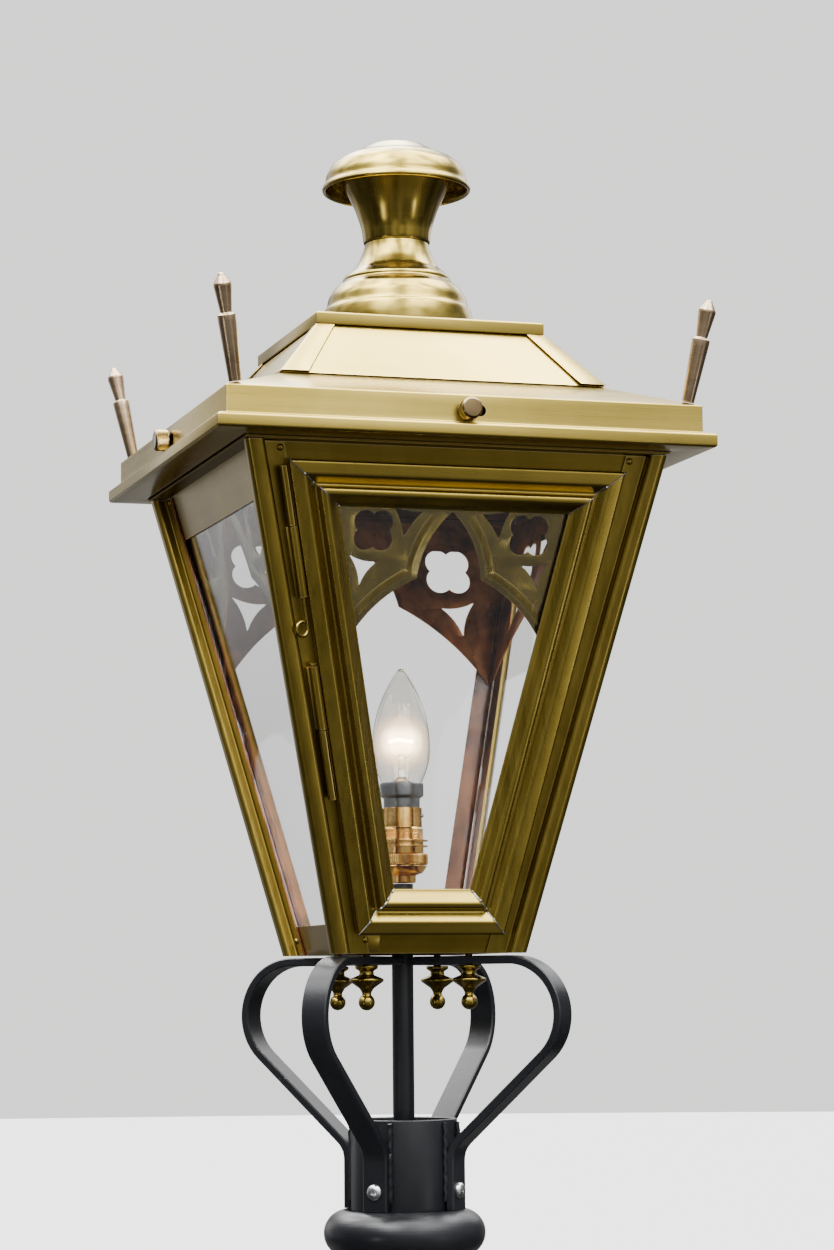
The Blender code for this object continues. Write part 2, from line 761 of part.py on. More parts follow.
def door(axis):
    left = door_member("door_stile_left", 0, 3, axis)
    door_member("door_stile_right", 1, 2, axis)
    door_member("door_rail_top", 0, 1, axis)
    door_member("door_rail_bottom", 3, 2, axis)
    door_knuckle(left, "door_knuckle_upper", 0.2430, 0.2760, axis)
    door_knuckle(left, "door_knuckle_lower", 0.0890, 0.1280, axis)
    inset = 0.0210
    outline = [door_corner(inset, corner) for corner in (3, 2, 1, 0)]
    pane_depth = DOOR_BACK_DEPTH + GAP
    pane = plate("door_pane", [outline], GLASS, glass, offset_pane_frame(0, pane_depth, GLASS))
    hang(pane, axis)
    fret_depth = pane_depth + GLASS + GAP
    frame = offset_pane_frame(0, fret_depth, FRET_SHEET)

    def half_at(height):
        return door_half(height) - inset * 1.024

    outlines = fret_outlines(
        half_at, DOOR_TOP_Z - inset * math.cos(LEAN), 0.2551, (19.6, 38.5), (56.8, 70.6), 3.8,
        (47.4, 12.1), (7.0, 6.75), [(61.0, 26.4), (43.8, 29.6), (54.2, 43.8)],
        [(35.3, -1.5), (18.1, 0.9), (29.1, 15.1)],
    )
    hang(plate("door_fret", outlines, FRET_SHEET, brass, frame), axis)


# Roof: eaves tray, hipped shell, hip strips, top tray, chimney cowl, corner spikes and thumbscrews.


def tray_top(half):
    """The lantern height of the eaves tray's sloping top at a half width."""
    return 0.3176 + (FASCIA_HALF - half) * 0.368


def eaves_tray(axis):
    lip = LIP_HALF
    inner = 0.0920
    underside = 0.2922
    return_edge = 0.1292
    profile = [
        (inner, tray_top(inner)), (FASCIA_HALF, tray_top(FASCIA_HALF)), (FASCIA_HALF, 0.3015),
        (lip - 0.0017, 0.3009), (lip, 0.2996), (lip, 0.2934), (lip - 0.0010, underside),
        (return_edge, underside), (return_edge, underside + SHEET), (lip - SHEET, underside + SHEET),
        (lip - SHEET, 0.2994), (FASCIA_HALF - SHEET, 0.3003),
        (FASCIA_HALF - SHEET, tray_top(FASCIA_HALF) - 0.0009), (inner, tray_top(inner) - 0.0013),
    ]
    tray = hang(square_ring("eaves_tray", profile, brass), axis)
    for side in range(4):
        place = side_turn(side) @ Matrix.Translation((0, 0, LANTERN_Z + THUMBSCREW_Z))
        outline = [(-0.0015 + 0.0035 * math.cos(a), 0.0035 * math.sin(a)) for a in half_turn(math.pi / 2)]
        outline += [(0.0062 + 0.0035 * math.cos(a), 0.0035 * math.sin(a)) for a in half_turn(-math.pi / 2)]
        sections = [[place @ Vector((x, y, z)) for x, z in outline] for y in (-0.1480, -0.1380)]
        cut(tray, hang(loft(f"screw_slot_{side}", sections, brass), axis))


def half_turn(start):
    return [start + math.pi * step / 4 for step in range(5)]


def roof_shell(axis):
    lean_in = 0.0015
    profile = [
        (ROOF_FOOT_HALF, ROOF_FOOT_Z), (ROOF_TOP_HALF, ROOF_TOP_Z), (ROOF_TOP_HALF, ROOF_TOP_Z + 0.0046),
        (ROOF_TOP_HALF - SHEET, ROOF_TOP_Z + 0.0046), (ROOF_TOP_HALF - SHEET, ROOF_TOP_Z - 0.0001),
        (ROOF_FOOT_HALF - lean_in, ROOF_FOOT_Z),
    ]
    hang(square_ring("roof_shell", profile, brass), axis)


def roof_half(height):
    share = (height - ROOF_FOOT_Z) / (ROOF_TOP_Z - ROOF_FOOT_Z)
    return ROOF_FOOT_HALF + (ROOF_TOP_HALF - ROOF_FOOT_HALF) * share


def hip_strip(name, quarter, axis):
    """A strip folded over a hip of the roof, narrower at its top."""
    turn = side_turn(quarter)
    sections = []
    for height, width in ((ROOF_FOOT_Z + 0.0010, 0.0160), (ROOF_TOP_Z - 0.0013, 0.0110)):
        half = roof_half(height)
        section = []
        for out, order in ((0.0015, 1), (0.0004, -1)):
            edge = half + out
            points = [(edge - width, edge), (edge, edge), (edge, edge - width)]
            section += points[::order]
        sections.append([turn @ Vector((-x, -y, LANTERN_Z + height)) for x, y in section])
    hang(loft(name, sections, brass), axis)


def roof_tray(axis):
    half = 0.0710
    profile = [
        (0.0300, 0.3795), (half - 0.0006, 0.3776), (half, 0.3770), (half, 0.3703), (half - SHEET, 0.3703),
        (half - SHEET, 0.3763), (0.0300, 0.3782),
    ]
    hang(square_ring("roof_tray", profile, brass), axis)


def cowl(axis):
    frame = Matrix.Translation((0, 0, LANTERN_Z))
    base = [
        (45.4, 380.0), (47.3, 380.8), (47.0, 388.0), (45.6, 394.4), (43.9, 396.0), (42.6, 402.6),
        (38.6, 408.8), (33.4, 412.2), (33.8, 414.2), (31.4, 417.0), (26.6, 420.6), (23.0, 427.0),
        (20.4, 433.6), (18.9, 440.6), (17.7, 440.6), (19.2, 433.0), (21.8, 426.4), (25.4, 419.8),
        (32.0, 412.0), (37.6, 407.6), (41.4, 402.0), (42.6, 395.6), (44.2, 393.8), (45.6, 388.0),
        (45.4, 381.4),
    ]
    hang(turned("cowl_base", base, brass, 20, closed=True, frame=frame), axis)
    trumpet = [
        (19.8, 437.6), (20.6, 437.2), (21.6, 446.5), (23.8, 453.4), (26.0, 459.6), (28.9, 465.8),
        (32.2, 471.8), (35.4, 478.2), (34.2, 478.8), (31.0, 472.4), (27.7, 466.4), (24.8, 460.2),
        (22.6, 453.8), (20.4, 446.7),
    ]
    hang(turned("cowl_trumpet", trumpet, brass, 20, closed=True, frame=frame), axis)
    cap = [
        (0, 501.6), (9, 501.2), (17, 499.2), (24.4, 494.8), (27.2, 493.2), (34.6, 490.4),
        (40.6, 485.6), (43.6, 479.6), (44.2, 474.6), (45.6, 473.2), (46.2, 471.4), (45.2, 469.8),
        (43.6, 470.6), (43.0, 474.0), (42.4, 479.0), (39.6, 484.6), (34.0, 489.2), (26.6, 492.0),
        (23.6, 493.6), (16.4, 497.8), (9, 499.8), (0, 500.2),
    ]
    hang(turned("cowl_cap", cap, brass, 20, frame=frame), axis)


def corner_spike(name, quarter, axis):
    """A turned spike that stands square to the tray's ridge and so leans outwards."""
    half = 0.1367
    lean = 0.18
    foot = Vector((-half, -half, LANTERN_Z + tray_top(half) + 0.0004))
    up = Vector((-lean, -lean, 1.0)).normalized()
    across = Vector((1, -1, 0)).normalized()
    frame = Matrix((across, up.cross(across), up)).transposed().to_4x4()
    frame.translation = foot
    profile = [
        (0, 61.6), (1.7, 61.0), (2.3, 59.6), (5.1, 55.2), (5.2, 54.0), (3.3, 38.6), (5.3, 37.6), (5.2, 34.0),
        (3.6, 0), (0, 0),
    ]
    hang(turned(name, profile, brass, 12, frame=side_turn(quarter) @ frame), axis)


def thumbscrew(name, side):
    """A thumbscrew whose shank passes the tray's slot and lies in the body's notch."""
    place = side_turn(side) @ Vector((THUMBSCREW_SHIFT, -FASCIA_HALF, LANTERN_Z + THUMBSCREW_Z))
    axis = pivot(name + "_axis", place)
    frame = Matrix.Translation(place) @ side_turn(side) @ Matrix.Rotation(math.pi / 2, 4, "X")
    profile = [
        (0, 9.4), (5.2, 9.4), (6.3, 8.4), (6.4, 1.6), (5.6, 0.8), (3.0, 0.8), (2.8, 0.5),
        (2.0, 0.5), (2.0, -24), (0, -24),
    ]
    hang(turned(name, profile, brass, 16, frame=frame), axis)


def roof():
    axis = pivot("roof_axis", (0, 0, LANTERN_Z + 0.2922))
    eaves_tray(axis)
    roof_shell(axis)
    roof_tray(axis)
    cowl(axis)
    for quarter, corner in enumerate(CORNERS):
        hip_strip(f"hip_strip_{corner}", quarter, axis)
        corner_spike(f"corner_spike_{corner}", quarter, axis)
    for side, face in enumerate(SIDES):
        thumbscrew(f"thumbscrew_{face}", side)


CORNERS = ("front_left", "front_right", "back_right", "back_left")
SIDES = ("front", "right", "back", "left")


def main():
    clear_scene()
    base_flange()
    base_column()
    post_shaft()
    post_head()
    cradle_collar()
    # An arm lies under each corner: quarter 2 of the circle, counted from back right, is front left.
    for corner, quarter in zip(CORNERS, (2, 3, 0, 1)):
        cradle_arm(f"cradle_arm_{corner}", quarter)
        drop_nut(f"drop_nut_{corner}", quarter)
    lamp_tube()
    holder_base()
    holder_ring()
    holder_shell()
    lamp_axis = pivot("lamp_axis", (0, 0, LANTERN_Z + 0.0795))
    holder_plungers(lamp_axis)
    bulb_cap(lamp_axis)
    bulb_glass(lamp_axis)
    base_plate()
    bottom_frame()
    top_frame()
    posts = [corner_post(f"corner_post_{corner}", quarter) for quarter, corner in enumerate(CORNERS)]
    for side in (1, 2, 3):
        glass_pane(f"glass_pane_{SIDES[side]}", side)
        side_fret(f"fret_{SIDES[side]}", side)
    hinge_axis = pivot("hinge_axis", hinge_point(0.1000))
    door(hinge_axis)
    frame_knuckle(posts[0], "frame_knuckle_upper", 0.2030, 0.2424)
    frame_knuckle(posts[0], "frame_knuckle_lower", 0.1286, 0.1640)
    looped_pin(hinge_axis)
    lower_pin()
    roof()


main()
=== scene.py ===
import math

import bmesh
import bpy
from mathutils import Matrix, Vector, noise


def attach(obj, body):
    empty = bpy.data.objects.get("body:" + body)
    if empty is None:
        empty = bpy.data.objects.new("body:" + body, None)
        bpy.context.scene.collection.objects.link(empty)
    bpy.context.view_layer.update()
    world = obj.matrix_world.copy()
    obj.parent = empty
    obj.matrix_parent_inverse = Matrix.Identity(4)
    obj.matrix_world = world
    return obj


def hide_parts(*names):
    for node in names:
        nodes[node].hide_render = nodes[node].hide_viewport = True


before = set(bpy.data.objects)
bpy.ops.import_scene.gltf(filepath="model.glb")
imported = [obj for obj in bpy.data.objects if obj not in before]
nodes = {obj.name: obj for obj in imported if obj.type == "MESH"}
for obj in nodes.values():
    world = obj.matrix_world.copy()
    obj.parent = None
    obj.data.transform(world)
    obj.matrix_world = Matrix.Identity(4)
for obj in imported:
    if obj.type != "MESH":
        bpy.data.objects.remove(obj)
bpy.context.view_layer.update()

# ---- Studio: camera, soft sky and lamps, pale floor --------------------------------------------
# The camera stands two metres off, a little left of square to the front, level with the lantern's
# base, and looks up at the lantern with a slight roll.

LANTERN_Z = 1.500  # the lantern's base above the ground
ground_distance = 2.0071
stand_angle = math.radians(16.7)
look_angle = math.radians(17.0)
look_up = math.radians(6.4)
roll = math.radians(0.5)


def in_scene(name, data):
    made = bpy.data.objects.new(name, data)
    bpy.context.scene.collection.objects.link(made)
    return made


camera_data = bpy.data.cameras.new("studio_camera")
camera_data.lens = 95.28
camera_data.sensor_width = 36
camera = in_scene("studio_camera", camera_data)
ahead = Vector((
    math.sin(look_angle) * math.cos(look_up),
    math.cos(look_angle) * math.cos(look_up),
    math.sin(look_up),
))
level_right = Vector((math.cos(look_angle), -math.sin(look_angle), 0))
level_up = level_right.cross(ahead)
right = level_right * math.cos(roll) - level_up * math.sin(roll)
up = level_up * math.cos(roll) + level_right * math.sin(roll)
stand = Vector((
    -math.sin(stand_angle) * ground_distance,
    -math.cos(stand_angle) * ground_distance,
    LANTERN_Z - 0.0247,
))
camera.matrix_world = Matrix.Translation(stand) @ Matrix((right, up, -ahead)).transposed().to_4x4()
bpy.context.scene.camera = camera


def feed(tree, socket, value):
    """Links a socket from another one, or sets it to a plain value."""
    if isinstance(value, bpy.types.NodeSocket):
        tree.links.new(value, socket)
    else:
        socket.default_value = value


def node(tree, kind, *fed, **settings):
    """A node. Its first inputs are fed in turn; a setting names another input, or a property."""
    made = tree.nodes.new("ShaderNode" + kind)
    for socket, value in zip(made.inputs, fed):
        feed(tree, socket, value)
    for key, value in settings.items():
        label = key.replace("_", " ").title()
        if label in made.inputs:
            feed(tree, made.inputs[label], value)
        else:
            setattr(made, key, value)
    return made


def colour_ramp(tree, share, stops, interpolation="EASE"):
    """A colour ramp through (place, colour) stops."""
    ramp = node(tree, "ValToRGB", share)
    line = ramp.color_ramp
    line.interpolation = interpolation
    while len(line.elements) < len(stops):
        line.elements.new(0.5)
    for element, (place, colour) in zip(line.elements, stops):
        element.position = place
        element.color = (*colour, 1)
    return ramp.outputs[0]


def blend_colour(tree, share, first, second):
    """A colour mix; each side is a socket or an (r, g, b)."""
    mix = node(tree, "Mix", data_type="RGBA")
    for index, value in ((0, share), (6, first), (7, second)):
        feed(tree, mix.inputs[index], (*value, 1) if isinstance(value, tuple) else value)
    return mix.outputs[2]


def spread(tree, value, low, high):
    """Maps a 0 to 1 value onto low to high."""
    return node(tree, "MapRange", value, to_min=low, to_max=high).outputs[0]


world = bpy.data.worlds.new("studio_sky")
world.use_nodes = True
bpy.context.scene.world = world
sky = world.node_tree
sky.nodes.clear()
where = node(sky, "TexCoord").outputs["Generated"]
axes = node(sky, "SeparateXYZ", where).outputs
height_share = node(sky, "MapRange", axes["Z"], from_min=-1).outputs[0]
behind_share = node(sky, "MapRange", axes["Y"], from_min=-0.25, from_max=0.45).outputs[0]
in_front = colour_ramp(sky, height_share, [
    (0.00, (0.0025, 0.0025, 0.0025)), (0.30, (0.014, 0.014, 0.0135)), (0.47, (0.030, 0.030, 0.029)),
    (0.56, (0.064, 0.064, 0.064)), (0.72, (0.17, 0.173, 0.18)), (0.93, (1.0, 1.0, 1.0)),
])
behind = colour_ramp(sky, height_share, [
    (0.00, (0.004, 0.004, 0.004)), (0.40, (0.014, 0.014, 0.014)), (0.455, (0.038, 0.038, 0.038)),
    (0.69, (0.062, 0.062, 0.063)), (0.93, (1.0, 1.0, 1.0)),
])
aside = node(sky, "Math", axes["X"], operation="ABSOLUTE").outputs[0]
beside = node(sky, "MapRange", aside, from_min=0.40, from_max=0.92, to_min=13.0, to_max=3.6)
uneven = node(sky, "TexNoise", where, scale=3.1, detail=2.0).outputs[0]
cloudy = node(sky, "MapRange", uneven, from_min=0.36, from_max=0.64, to_min=0.22, to_max=2.0)
brightness = node(sky, "Math", beside.outputs[0], cloudy.outputs[0], operation="MULTIPLY")
round_sky = blend_colour(sky, behind_share, in_front, behind)
lit_sky = node(sky, "Background", color=round_sky, strength=brightness.outputs[0])
plain_wall = node(sky, "Background", color=(0.86, 0.86, 0.85, 1), strength=1.65)
path = node(sky, "LightPath").outputs
off_metal = node(sky, "Math", path["Glossy Depth"], operation="LESS_THAN").outputs[0]
through_glass = node(sky, "Math", off_metal, path["Is Transmission Ray"], operation="MULTIPLY")
plain = node(sky, "Math", path["Is Camera Ray"], through_glass.outputs[0], operation="MAXIMUM")
choose = node(sky, "MixShader", plain.outputs[0], lit_sky.outputs[0], plain_wall.outputs[0])
node(sky, "OutputWorld", choose.outputs[0])

for name, place, aim_z, size, power in (
    ("lamp_above_left", (-1.6, -1.5, 3.4), 1.7, 1.4, 9),
    ("lamp_behind_right", (1.9, 1.6, 2.9), 1.7, 1.6, 12),
    ("lamp_low_left", (-2.3, -1.5, 0.9), 1.6, 0.5, 3.2),
    ("lamp_low_right", (1.7, -2.2, 0.8), 1.6, 0.35, 2.4),
):
    lamp = bpy.data.lights.new(name, "AREA")
    lamp.shape = "DISK"
    lamp.size = size
    lamp.energy = power
    stand = in_scene(name, lamp)
    stand.location = place
    aim = Vector((0, 0, aim_z)) - Vector(place)
    stand.rotation_euler = aim.to_track_quat("-Z", "Y").to_euler()


def fresh_material(name):
    made = bpy.data.materials.new(name)
    made.use_nodes = True
    return made, made.node_tree, made.node_tree.nodes["Principled BSDF"]


def shade(tree, shader, **values):
    """Feeds a shader's inputs by name: base_color and so on."""
    for key, value in values.items():
        feed(tree, shader.inputs[key.replace("_", " ").title().replace("Ior", "IOR")], value)


floor_mesh = bpy.data.meshes.new("floor")
floor_form = bmesh.new()
bmesh.ops.create_circle(floor_form, cap_ends=True, segments=128, radius=40)
floor_form.to_mesh(floor_mesh)
floor_form.free()
floor = in_scene("floor", floor_mesh)
floor.location.z = -0.0006
floor.visible_glossy = False
floor_paint, floor_tree, floor_shader = fresh_material("floor_paint")
# The floor is pale where seen directly and near black after any glossy bounce: painted shade in the
# metal's reflections of the floor.
direct = spread(floor_tree, node(floor_tree, "LightPath").outputs["Glossy Depth"], 1.0, 0.0)
floor_colour = blend_colour(floor_tree, direct, (0.02, 0.02, 0.02), (0.40, 0.40, 0.395))
shade(floor_tree, floor_shader, base_color=floor_colour, roughness=0.8)
floor_mesh.materials.append(floor_paint)

# ---- Base flange -------------------------------------------------------------------------------
# A cast iron disc that stands on the ground, with four holes for ground bolts. It is painted
# satin black, with a little dust where it faces up.


def shared_group(name, inputs, outputs):
    """An empty group, and what goes into and comes out of it, given as (label, kind, value)."""
    group = bpy.data.node_groups.new(name, "ShaderNodeTree")
    for label, kind, value in inputs:
        socket = group.interface.new_socket(label, in_out="INPUT", socket_type="NodeSocket" + kind)
        socket.default_value = value
    for label in outputs:
        group.interface.new_socket(label, in_out="OUTPUT", socket_type="NodeSocketFloat")
    given = group.nodes.new("NodeGroupInput").outputs
    return group, given, group.nodes.new("NodeGroupOutput").inputs


def mottle_group():
    """Soft blotches and small specks in the piece's own space."""
    sizes = [("Blotch Size", "Float", 14.0), ("Speck Size", "Float", 220.0)]
    group, given, out = shared_group("mottle", sizes, ["Blotches", "Specks"])
    place = node(group, "TexCoord").outputs["Object"]
    blotches = node(
        group, "TexNoise", place, scale=given["Blotch Size"], detail=5.0, roughness=0.6,
        distortion=0.4,
    )
    specks = node(group, "TexNoise", place, scale=given["Speck Size"], detail=3.0, roughness=0.7)
    soft = node(group, "MapRange", blotches.outputs[0], from_min=0.34, from_max=0.66)
    sharp = node(group, "MapRange", specks.outputs[0], from_min=0.40, from_max=0.70)
    feed(group, out["Blotches"], soft.outputs[0])
    feed(group, out["Specks"], sharp.outputs[0])
    return group


def facing_group():
    """A mask that is one where a surface faces up, for settled dust."""
    limits = [("Least", "Float", 0.55), ("Most", "Float", 1.0)]
    group, given, out = shared_group("faces_up", limits, ["Up"])
    upward = node(group, "SeparateXYZ", node(group, "NewGeometry").outputs["Normal"]).outputs["Z"]
    ramp = node(group, "MapRange", upward, from_min=given["Least"], from_max=given["Most"])
    feed(group, out["Up"], ramp.outputs[0])
    return group


def edge_mask_group():
    """A mask that is one along edges, where handling rubs a finish away; on the brass it also places
    a painted edge highlight.
    """
    sizes = [("Width", "Float", 0.0012), ("Strength", "Float", 6.0)]
    group, given, out = shared_group("edge_mask", sizes, ["Wear"])
    rounded = node(group, "Bevel", radius=given["Width"], samples=4).outputs[0]
    flat = node(group, "NewGeometry").outputs["Normal"]
    compare = node(group, "VectorMath", rounded, flat, operation="DOT_PRODUCT").outputs["Value"]
    flip = node(group, "Math", 1.0, compare, operation="SUBTRACT").outputs[0]
    gain = node(group, "Math", flip, given["Strength"], operation="MULTIPLY", use_clamp=True)
    feed(group, out["Wear"], gain.outputs[0])
    return group


MOTTLE = mottle_group()
FACES_UP = facing_group()
EDGE_MASK = edge_mask_group()


def use_group(tree, group, **values):
    placed = tree.nodes.new("ShaderNodeGroup")
    placed.node_tree = group
    for key, value in values.items():
        placed.inputs[key.replace("_", " ").title()].default_value = value
    return placed.outputs


def relief(tree, shader, height, distance, strength=1.0):
    bump = node(tree, "Bump", height=height, distance=distance, strength=strength)
    feed(tree, shader.inputs["Normal"], bump.outputs[0])


def black_paint_finish():
    """Satin black paint on iron: a faint orange peel, worn edges and a film of dust."""
    made, tree, shader = fresh_material("satin_black_paint")
    mottle = use_group(tree, MOTTLE, blotch_size=9.0, speck_size=420.0)
    dust = use_group(tree, FACES_UP, least=0.5, most=1.0)["Up"]
    edge_share = use_group(tree, EDGE_MASK, width=0.0010, strength=3.0)["Wear"]
    paint = blend_colour(tree, mottle["Blotches"], (0.0022, 0.0026, 0.0036), (0.0042, 0.0048, 0.0062))
    dusty = node(tree, "Math", dust, mottle["Specks"], operation="MULTIPLY").outputs[0]
    paint = blend_colour(tree, spread(tree, dusty, 0.0, 0.06), paint, (0.16, 0.16, 0.155))
    paint = blend_colour(tree, spread(tree, edge_share, 0.0, 0.25), paint, (0.022, 0.024, 0.028))
    gloss = spread(tree, mottle["Blotches"], 0.27, 0.38)
    shade(tree, shader, base_color=paint, roughness=gloss, specular_ior_level=0.35)
    relief(tree, shader, mottle["Specks"], 0.00004, 0.5)
    return made


BLACK_PAINT = black_paint_finish()


def piece_from(name, form, finish, sharp_deg=38):
    """A piece of the model from a closed bmesh, smooth except across sharp angles."""
    bmesh.ops.recalc_face_normals(form, faces=form.faces)
    if form.calc_volume(signed=True) < 0:
        bmesh.ops.reverse_faces(form, faces=form.faces)
    mesh = bpy.data.meshes.new(name)
    form.to_mesh(mesh)
    form.free()
    mesh.shade_smooth()
    mesh.set_sharp_from_angle(angle=math.radians(sharp_deg))
    mesh.materials.append(finish)
    return in_scene(name, mesh)


def fitted(piece, body, solid):
    """Puts a piece on the body it moves with, in place of the plain solid of that name."""
    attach(piece, body)
    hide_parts(solid)


def added(piece, body):
    """Puts a small extra piece on the body it moves with."""
    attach(piece, body)


def eased(points, radius, closed=True, steps=3):
    """The line with its corners rounded off."""
    out = []
    count = len(points)
    for index, point in enumerate(points):
        here = Vector(point)
        if not closed and index in (0, count - 1):
            out.append(here)
            continue
        before = Vector(points[index - 1])
        after = Vector(points[(index + 1) % count])
        back = min(radius, 0.42 * (before - here).length)
        on = min(radius, 0.42 * (after - here).length)
        start = here + (before - here).normalized() * back
        end = here + (after - here).normalized() * on
        for step in range(steps + 1):
            share = step / steps
            out.append(start.lerp(here, share).lerp(here.lerp(end, share), share))
    return out


def ring_of(count):
    turns = [2 * math.pi * k / count for k in range(count)]
    return [(math.cos(a), math.sin(a)) for a in turns]


def turned(name, profile, finish, place=Matrix.Identity(4), ease=0.5, segments=96, closed=True,
           ribs=None):
    """A lathe-turned piece from (radius, height) points in millimetres.

    A line that isn't closed starts and ends on the axis. ribs is (from, to, count, depth): a
    straight knurl between two heights, cut that deep into points beyond 80 % of the widest radius.
    """
    line = eased(profile, ease, closed)
    widest = max(point[0] for point in line)
    form = bmesh.new()
    columns = []
    poles = {}
    for turn_index, (cos, sin) in enumerate(ring_of(segments)):
        column = []
        for index, (radius, height) in enumerate(line):
            if radius < 1e-4:
                if index not in poles:
                    poles[index] = form.verts.new(place @ Vector((0, 0, height / 1000)))
                column.append(poles[index])
                continue
            if ribs and ribs[0] <= height <= ribs[1] and radius > 0.8 * widest:
                ridge = math.cos(2 * math.pi * turn_index * ribs[2] / segments)
                radius -= ribs[3] * (0.5 + 0.5 * ridge)
            reach = radius / 1000
            column.append(form.verts.new(place @ Vector((cos * reach, sin * reach, height / 1000))))
        columns.append(column)
    last = len(line) if closed else len(line) - 1
    for index, column in enumerate(columns):
        following = columns[(index + 1) % segments]
        for step in range(last):
            after = (step + 1) % len(line)
            corners = [column[step], following[step], following[after], column[after]]
            distinct = list(dict.fromkeys(corners))
            if len(distinct) > 2:
                form.faces.new(distinct)
    return piece_from(name, form, finish)


def finished_mesh(obj):
    """The object's mesh with its modifiers, or its curve's fill, worked in."""
    bpy.context.view_layer.update()
    depsgraph = bpy.context.evaluated_depsgraph_get()
    return bpy.data.meshes.new_from_object(obj.evaluated_get(depsgraph))


def flat_plate(name, outlines, thickness, finish, place, edge=0.0002):
    """A flat plate: the first outline is its edge, the others are its holes."""
    drawn = bpy.data.curves.new(name, "CURVE")
    drawn.dimensions = "2D"
    drawn.fill_mode = "BOTH"
    drawn.extrude = thickness / 2
    for outline in outlines:
        spline = drawn.splines.new("POLY")
        spline.points.add(len(outline) - 1)
        for point, (x, y) in zip(spline.points, outline):
            point.co = (x, y, 0, 1)
        spline.use_cyclic_u = True
    guide = in_scene(name + "_outline", drawn)
    form = bmesh.new()
    form.from_mesh(finished_mesh(guide))
    bpy.data.objects.remove(guide)
    bmesh.ops.remove_doubles(form, verts=form.verts, dist=1e-6)
    rim = [e for e in form.edges if e.is_manifold and e.calc_face_angle(0) > math.radians(60)
           and abs(e.verts[0].co.z - e.verts[1].co.z) < 1e-6]
    if edge:
        bmesh.ops.bevel(form, geom=rim, offset=edge, segments=2, affect="EDGES", profile=0.5)
    form.transform(place)
    return piece_from(name, form, finish)


ON_LANTERN = Matrix.Translation((0, 0, LANTERN_Z))
flange_edge = [(0.125 * x, 0.125 * y) for x, y in ring_of(128)]
flange_bore = [(0.022 * x, 0.022 * y) for x, y in ring_of(48)]
bolt_circle, bolt_hole = 0.100, 0.007
bolt_holes = [
    [
        (bolt_circle * math.cos(a) + bolt_hole * x, bolt_circle * math.sin(a) + bolt_hole * y)
        for x, y in ring_of(32)
    ]
    for a in (math.radians(45 + 90 * quarter) for quarter in range(4))
]
flange = flat_plate(
    "foot_flange", [flange_edge, flange_bore] + bolt_holes, 0.012, BLACK_PAINT,
    Matrix.Translation((0, 0, 0.006)), edge=0.0014,
)
fitted(flange, "post", "base_flange")

# ---- Base column -------------------------------------------------------------------------------
# A cast and turned foot round the bottom of the shaft: a bell with a rounded step below and a
# fat collar above, in the same black paint.
foot, top = 12.3, 420.0
column_profile = [
    (31, foot), (78, foot), (80, foot + 8), (78, foot + 16), (70, foot + 20), (66, foot + 34),
    (56, foot + 58), (50, foot + 70), (46, top - 60), (44, top - 40), (51, top - 32), (53, top - 24),
    (51, top - 16), (42, top - 12), (38, top), (31, top),
]
column = turned("foot_column", column_profile, BLACK_PAINT, ease=5.0, segments=112)
fitted(column, "post", "base_column")

# ---- Post shaft --------------------------------------------------------------------------------
# A straight drawn steel tube, 60 mm across, painted black, from the foot to the turned head.
shaft_top = (LANTERN_Z - 0.165 - 0.0145) * 1000
shaft_profile = [(26.5, foot), (30, foot), (30, shaft_top), (26.5, shaft_top)]
shaft = turned("steel_shaft", shaft_profile, BLACK_PAINT, ease=0.6, segments=96)
fitted(shaft, "post", "post_shaft")

# ---- Turned head -------------------------------------------------------------------------------
# The plug in the top of the shaft, with the fat half-round ring that shows under the collar and
# the spigot that the collar slips over. It is turned iron, painted black.
ring_z = -165.0
fat_bead = [
    (34.5 + 14 * math.cos(a), ring_z + 14 * math.sin(a))
    for a in (math.radians(-80 + 8 * step) for step in range(21))
]
head_profile = [(6.9, ring_z - 54), (26.1, ring_z - 54), (26.1, ring_z - 14.2), (34, ring_z - 14.2)]
head_profile += fat_bead
head_profile += [
    (33.6, ring_z + 13.4), (32.6, ring_z + 11.0), (28.6, ring_z + 11.0), (28.6, ring_z + 52),
    (27, ring_z + 54), (6.9, ring_z + 54),
]
head = turned("turned_head", head_profile, BLACK_PAINT, ON_LANTERN, ease=0.5, segments=112)
fitted(head, "post", "post_head")

# ---- Cradle collar -----------------------------------------------------------------------------
# A short steel tube that carries the four arms and slips over the head's spigot. The arms are
# welded to it, and a lumpy bead of weld shows at its top beside each of them.
collar_profile = [(29, -153.4), (32, -153.4), (32, -97.7), (29, -97.7)]
collar = turned("arm_collar", collar_profile, BLACK_PAINT, ON_LANTERN, ease=0.8)
fitted(collar, "post", "cradle_collar")


def lofted(name, sections, finish, sharp_deg=38):
    """A closed solid through sections that each hold the same number of world points."""
    form = bmesh.new()
    rings = [[form.verts.new(point) for point in section] for section in sections]
    for lower, upper in zip(rings, rings[1:]):
        for index, vert in enumerate(lower):
            after = (index + 1) % len(lower)
            form.faces.new([vert, lower[after], upper[after], upper[index]])
    form.faces.new(rings[0])
    form.faces.new(rings[-1])
    return piece_from(name, form, finish, sharp_deg)


def tube_along(name, path, radius_at, finish, sides=10, sideways=None):
    """A closed round rod along a path of points, with its radius given at each index."""
    rings = []
    side = sideways
    for index, point in enumerate(path):
        before = path[max(index - 1, 0)]
        after = path[min(index + 1, len(path) - 1)]
        forward = (after - before).normalized()
        if side is None:
            side = forward.orthogonal().normalized()
        side = (side - forward * side.dot(forward)).normalized()
        other = forward.cross(side)
        reach = radius_at(index)
        rings.append([point + reach * (x * side + y * other) for x, y in ring_of(sides)])
    return lofted(name, rings, finish)


CORNERS = ("front_left", "front_right", "back_right", "back_left")
ARM_QUARTERS = (2, 3, 0, 1)
HANDS = ((-1, "left"), (1, "right"))


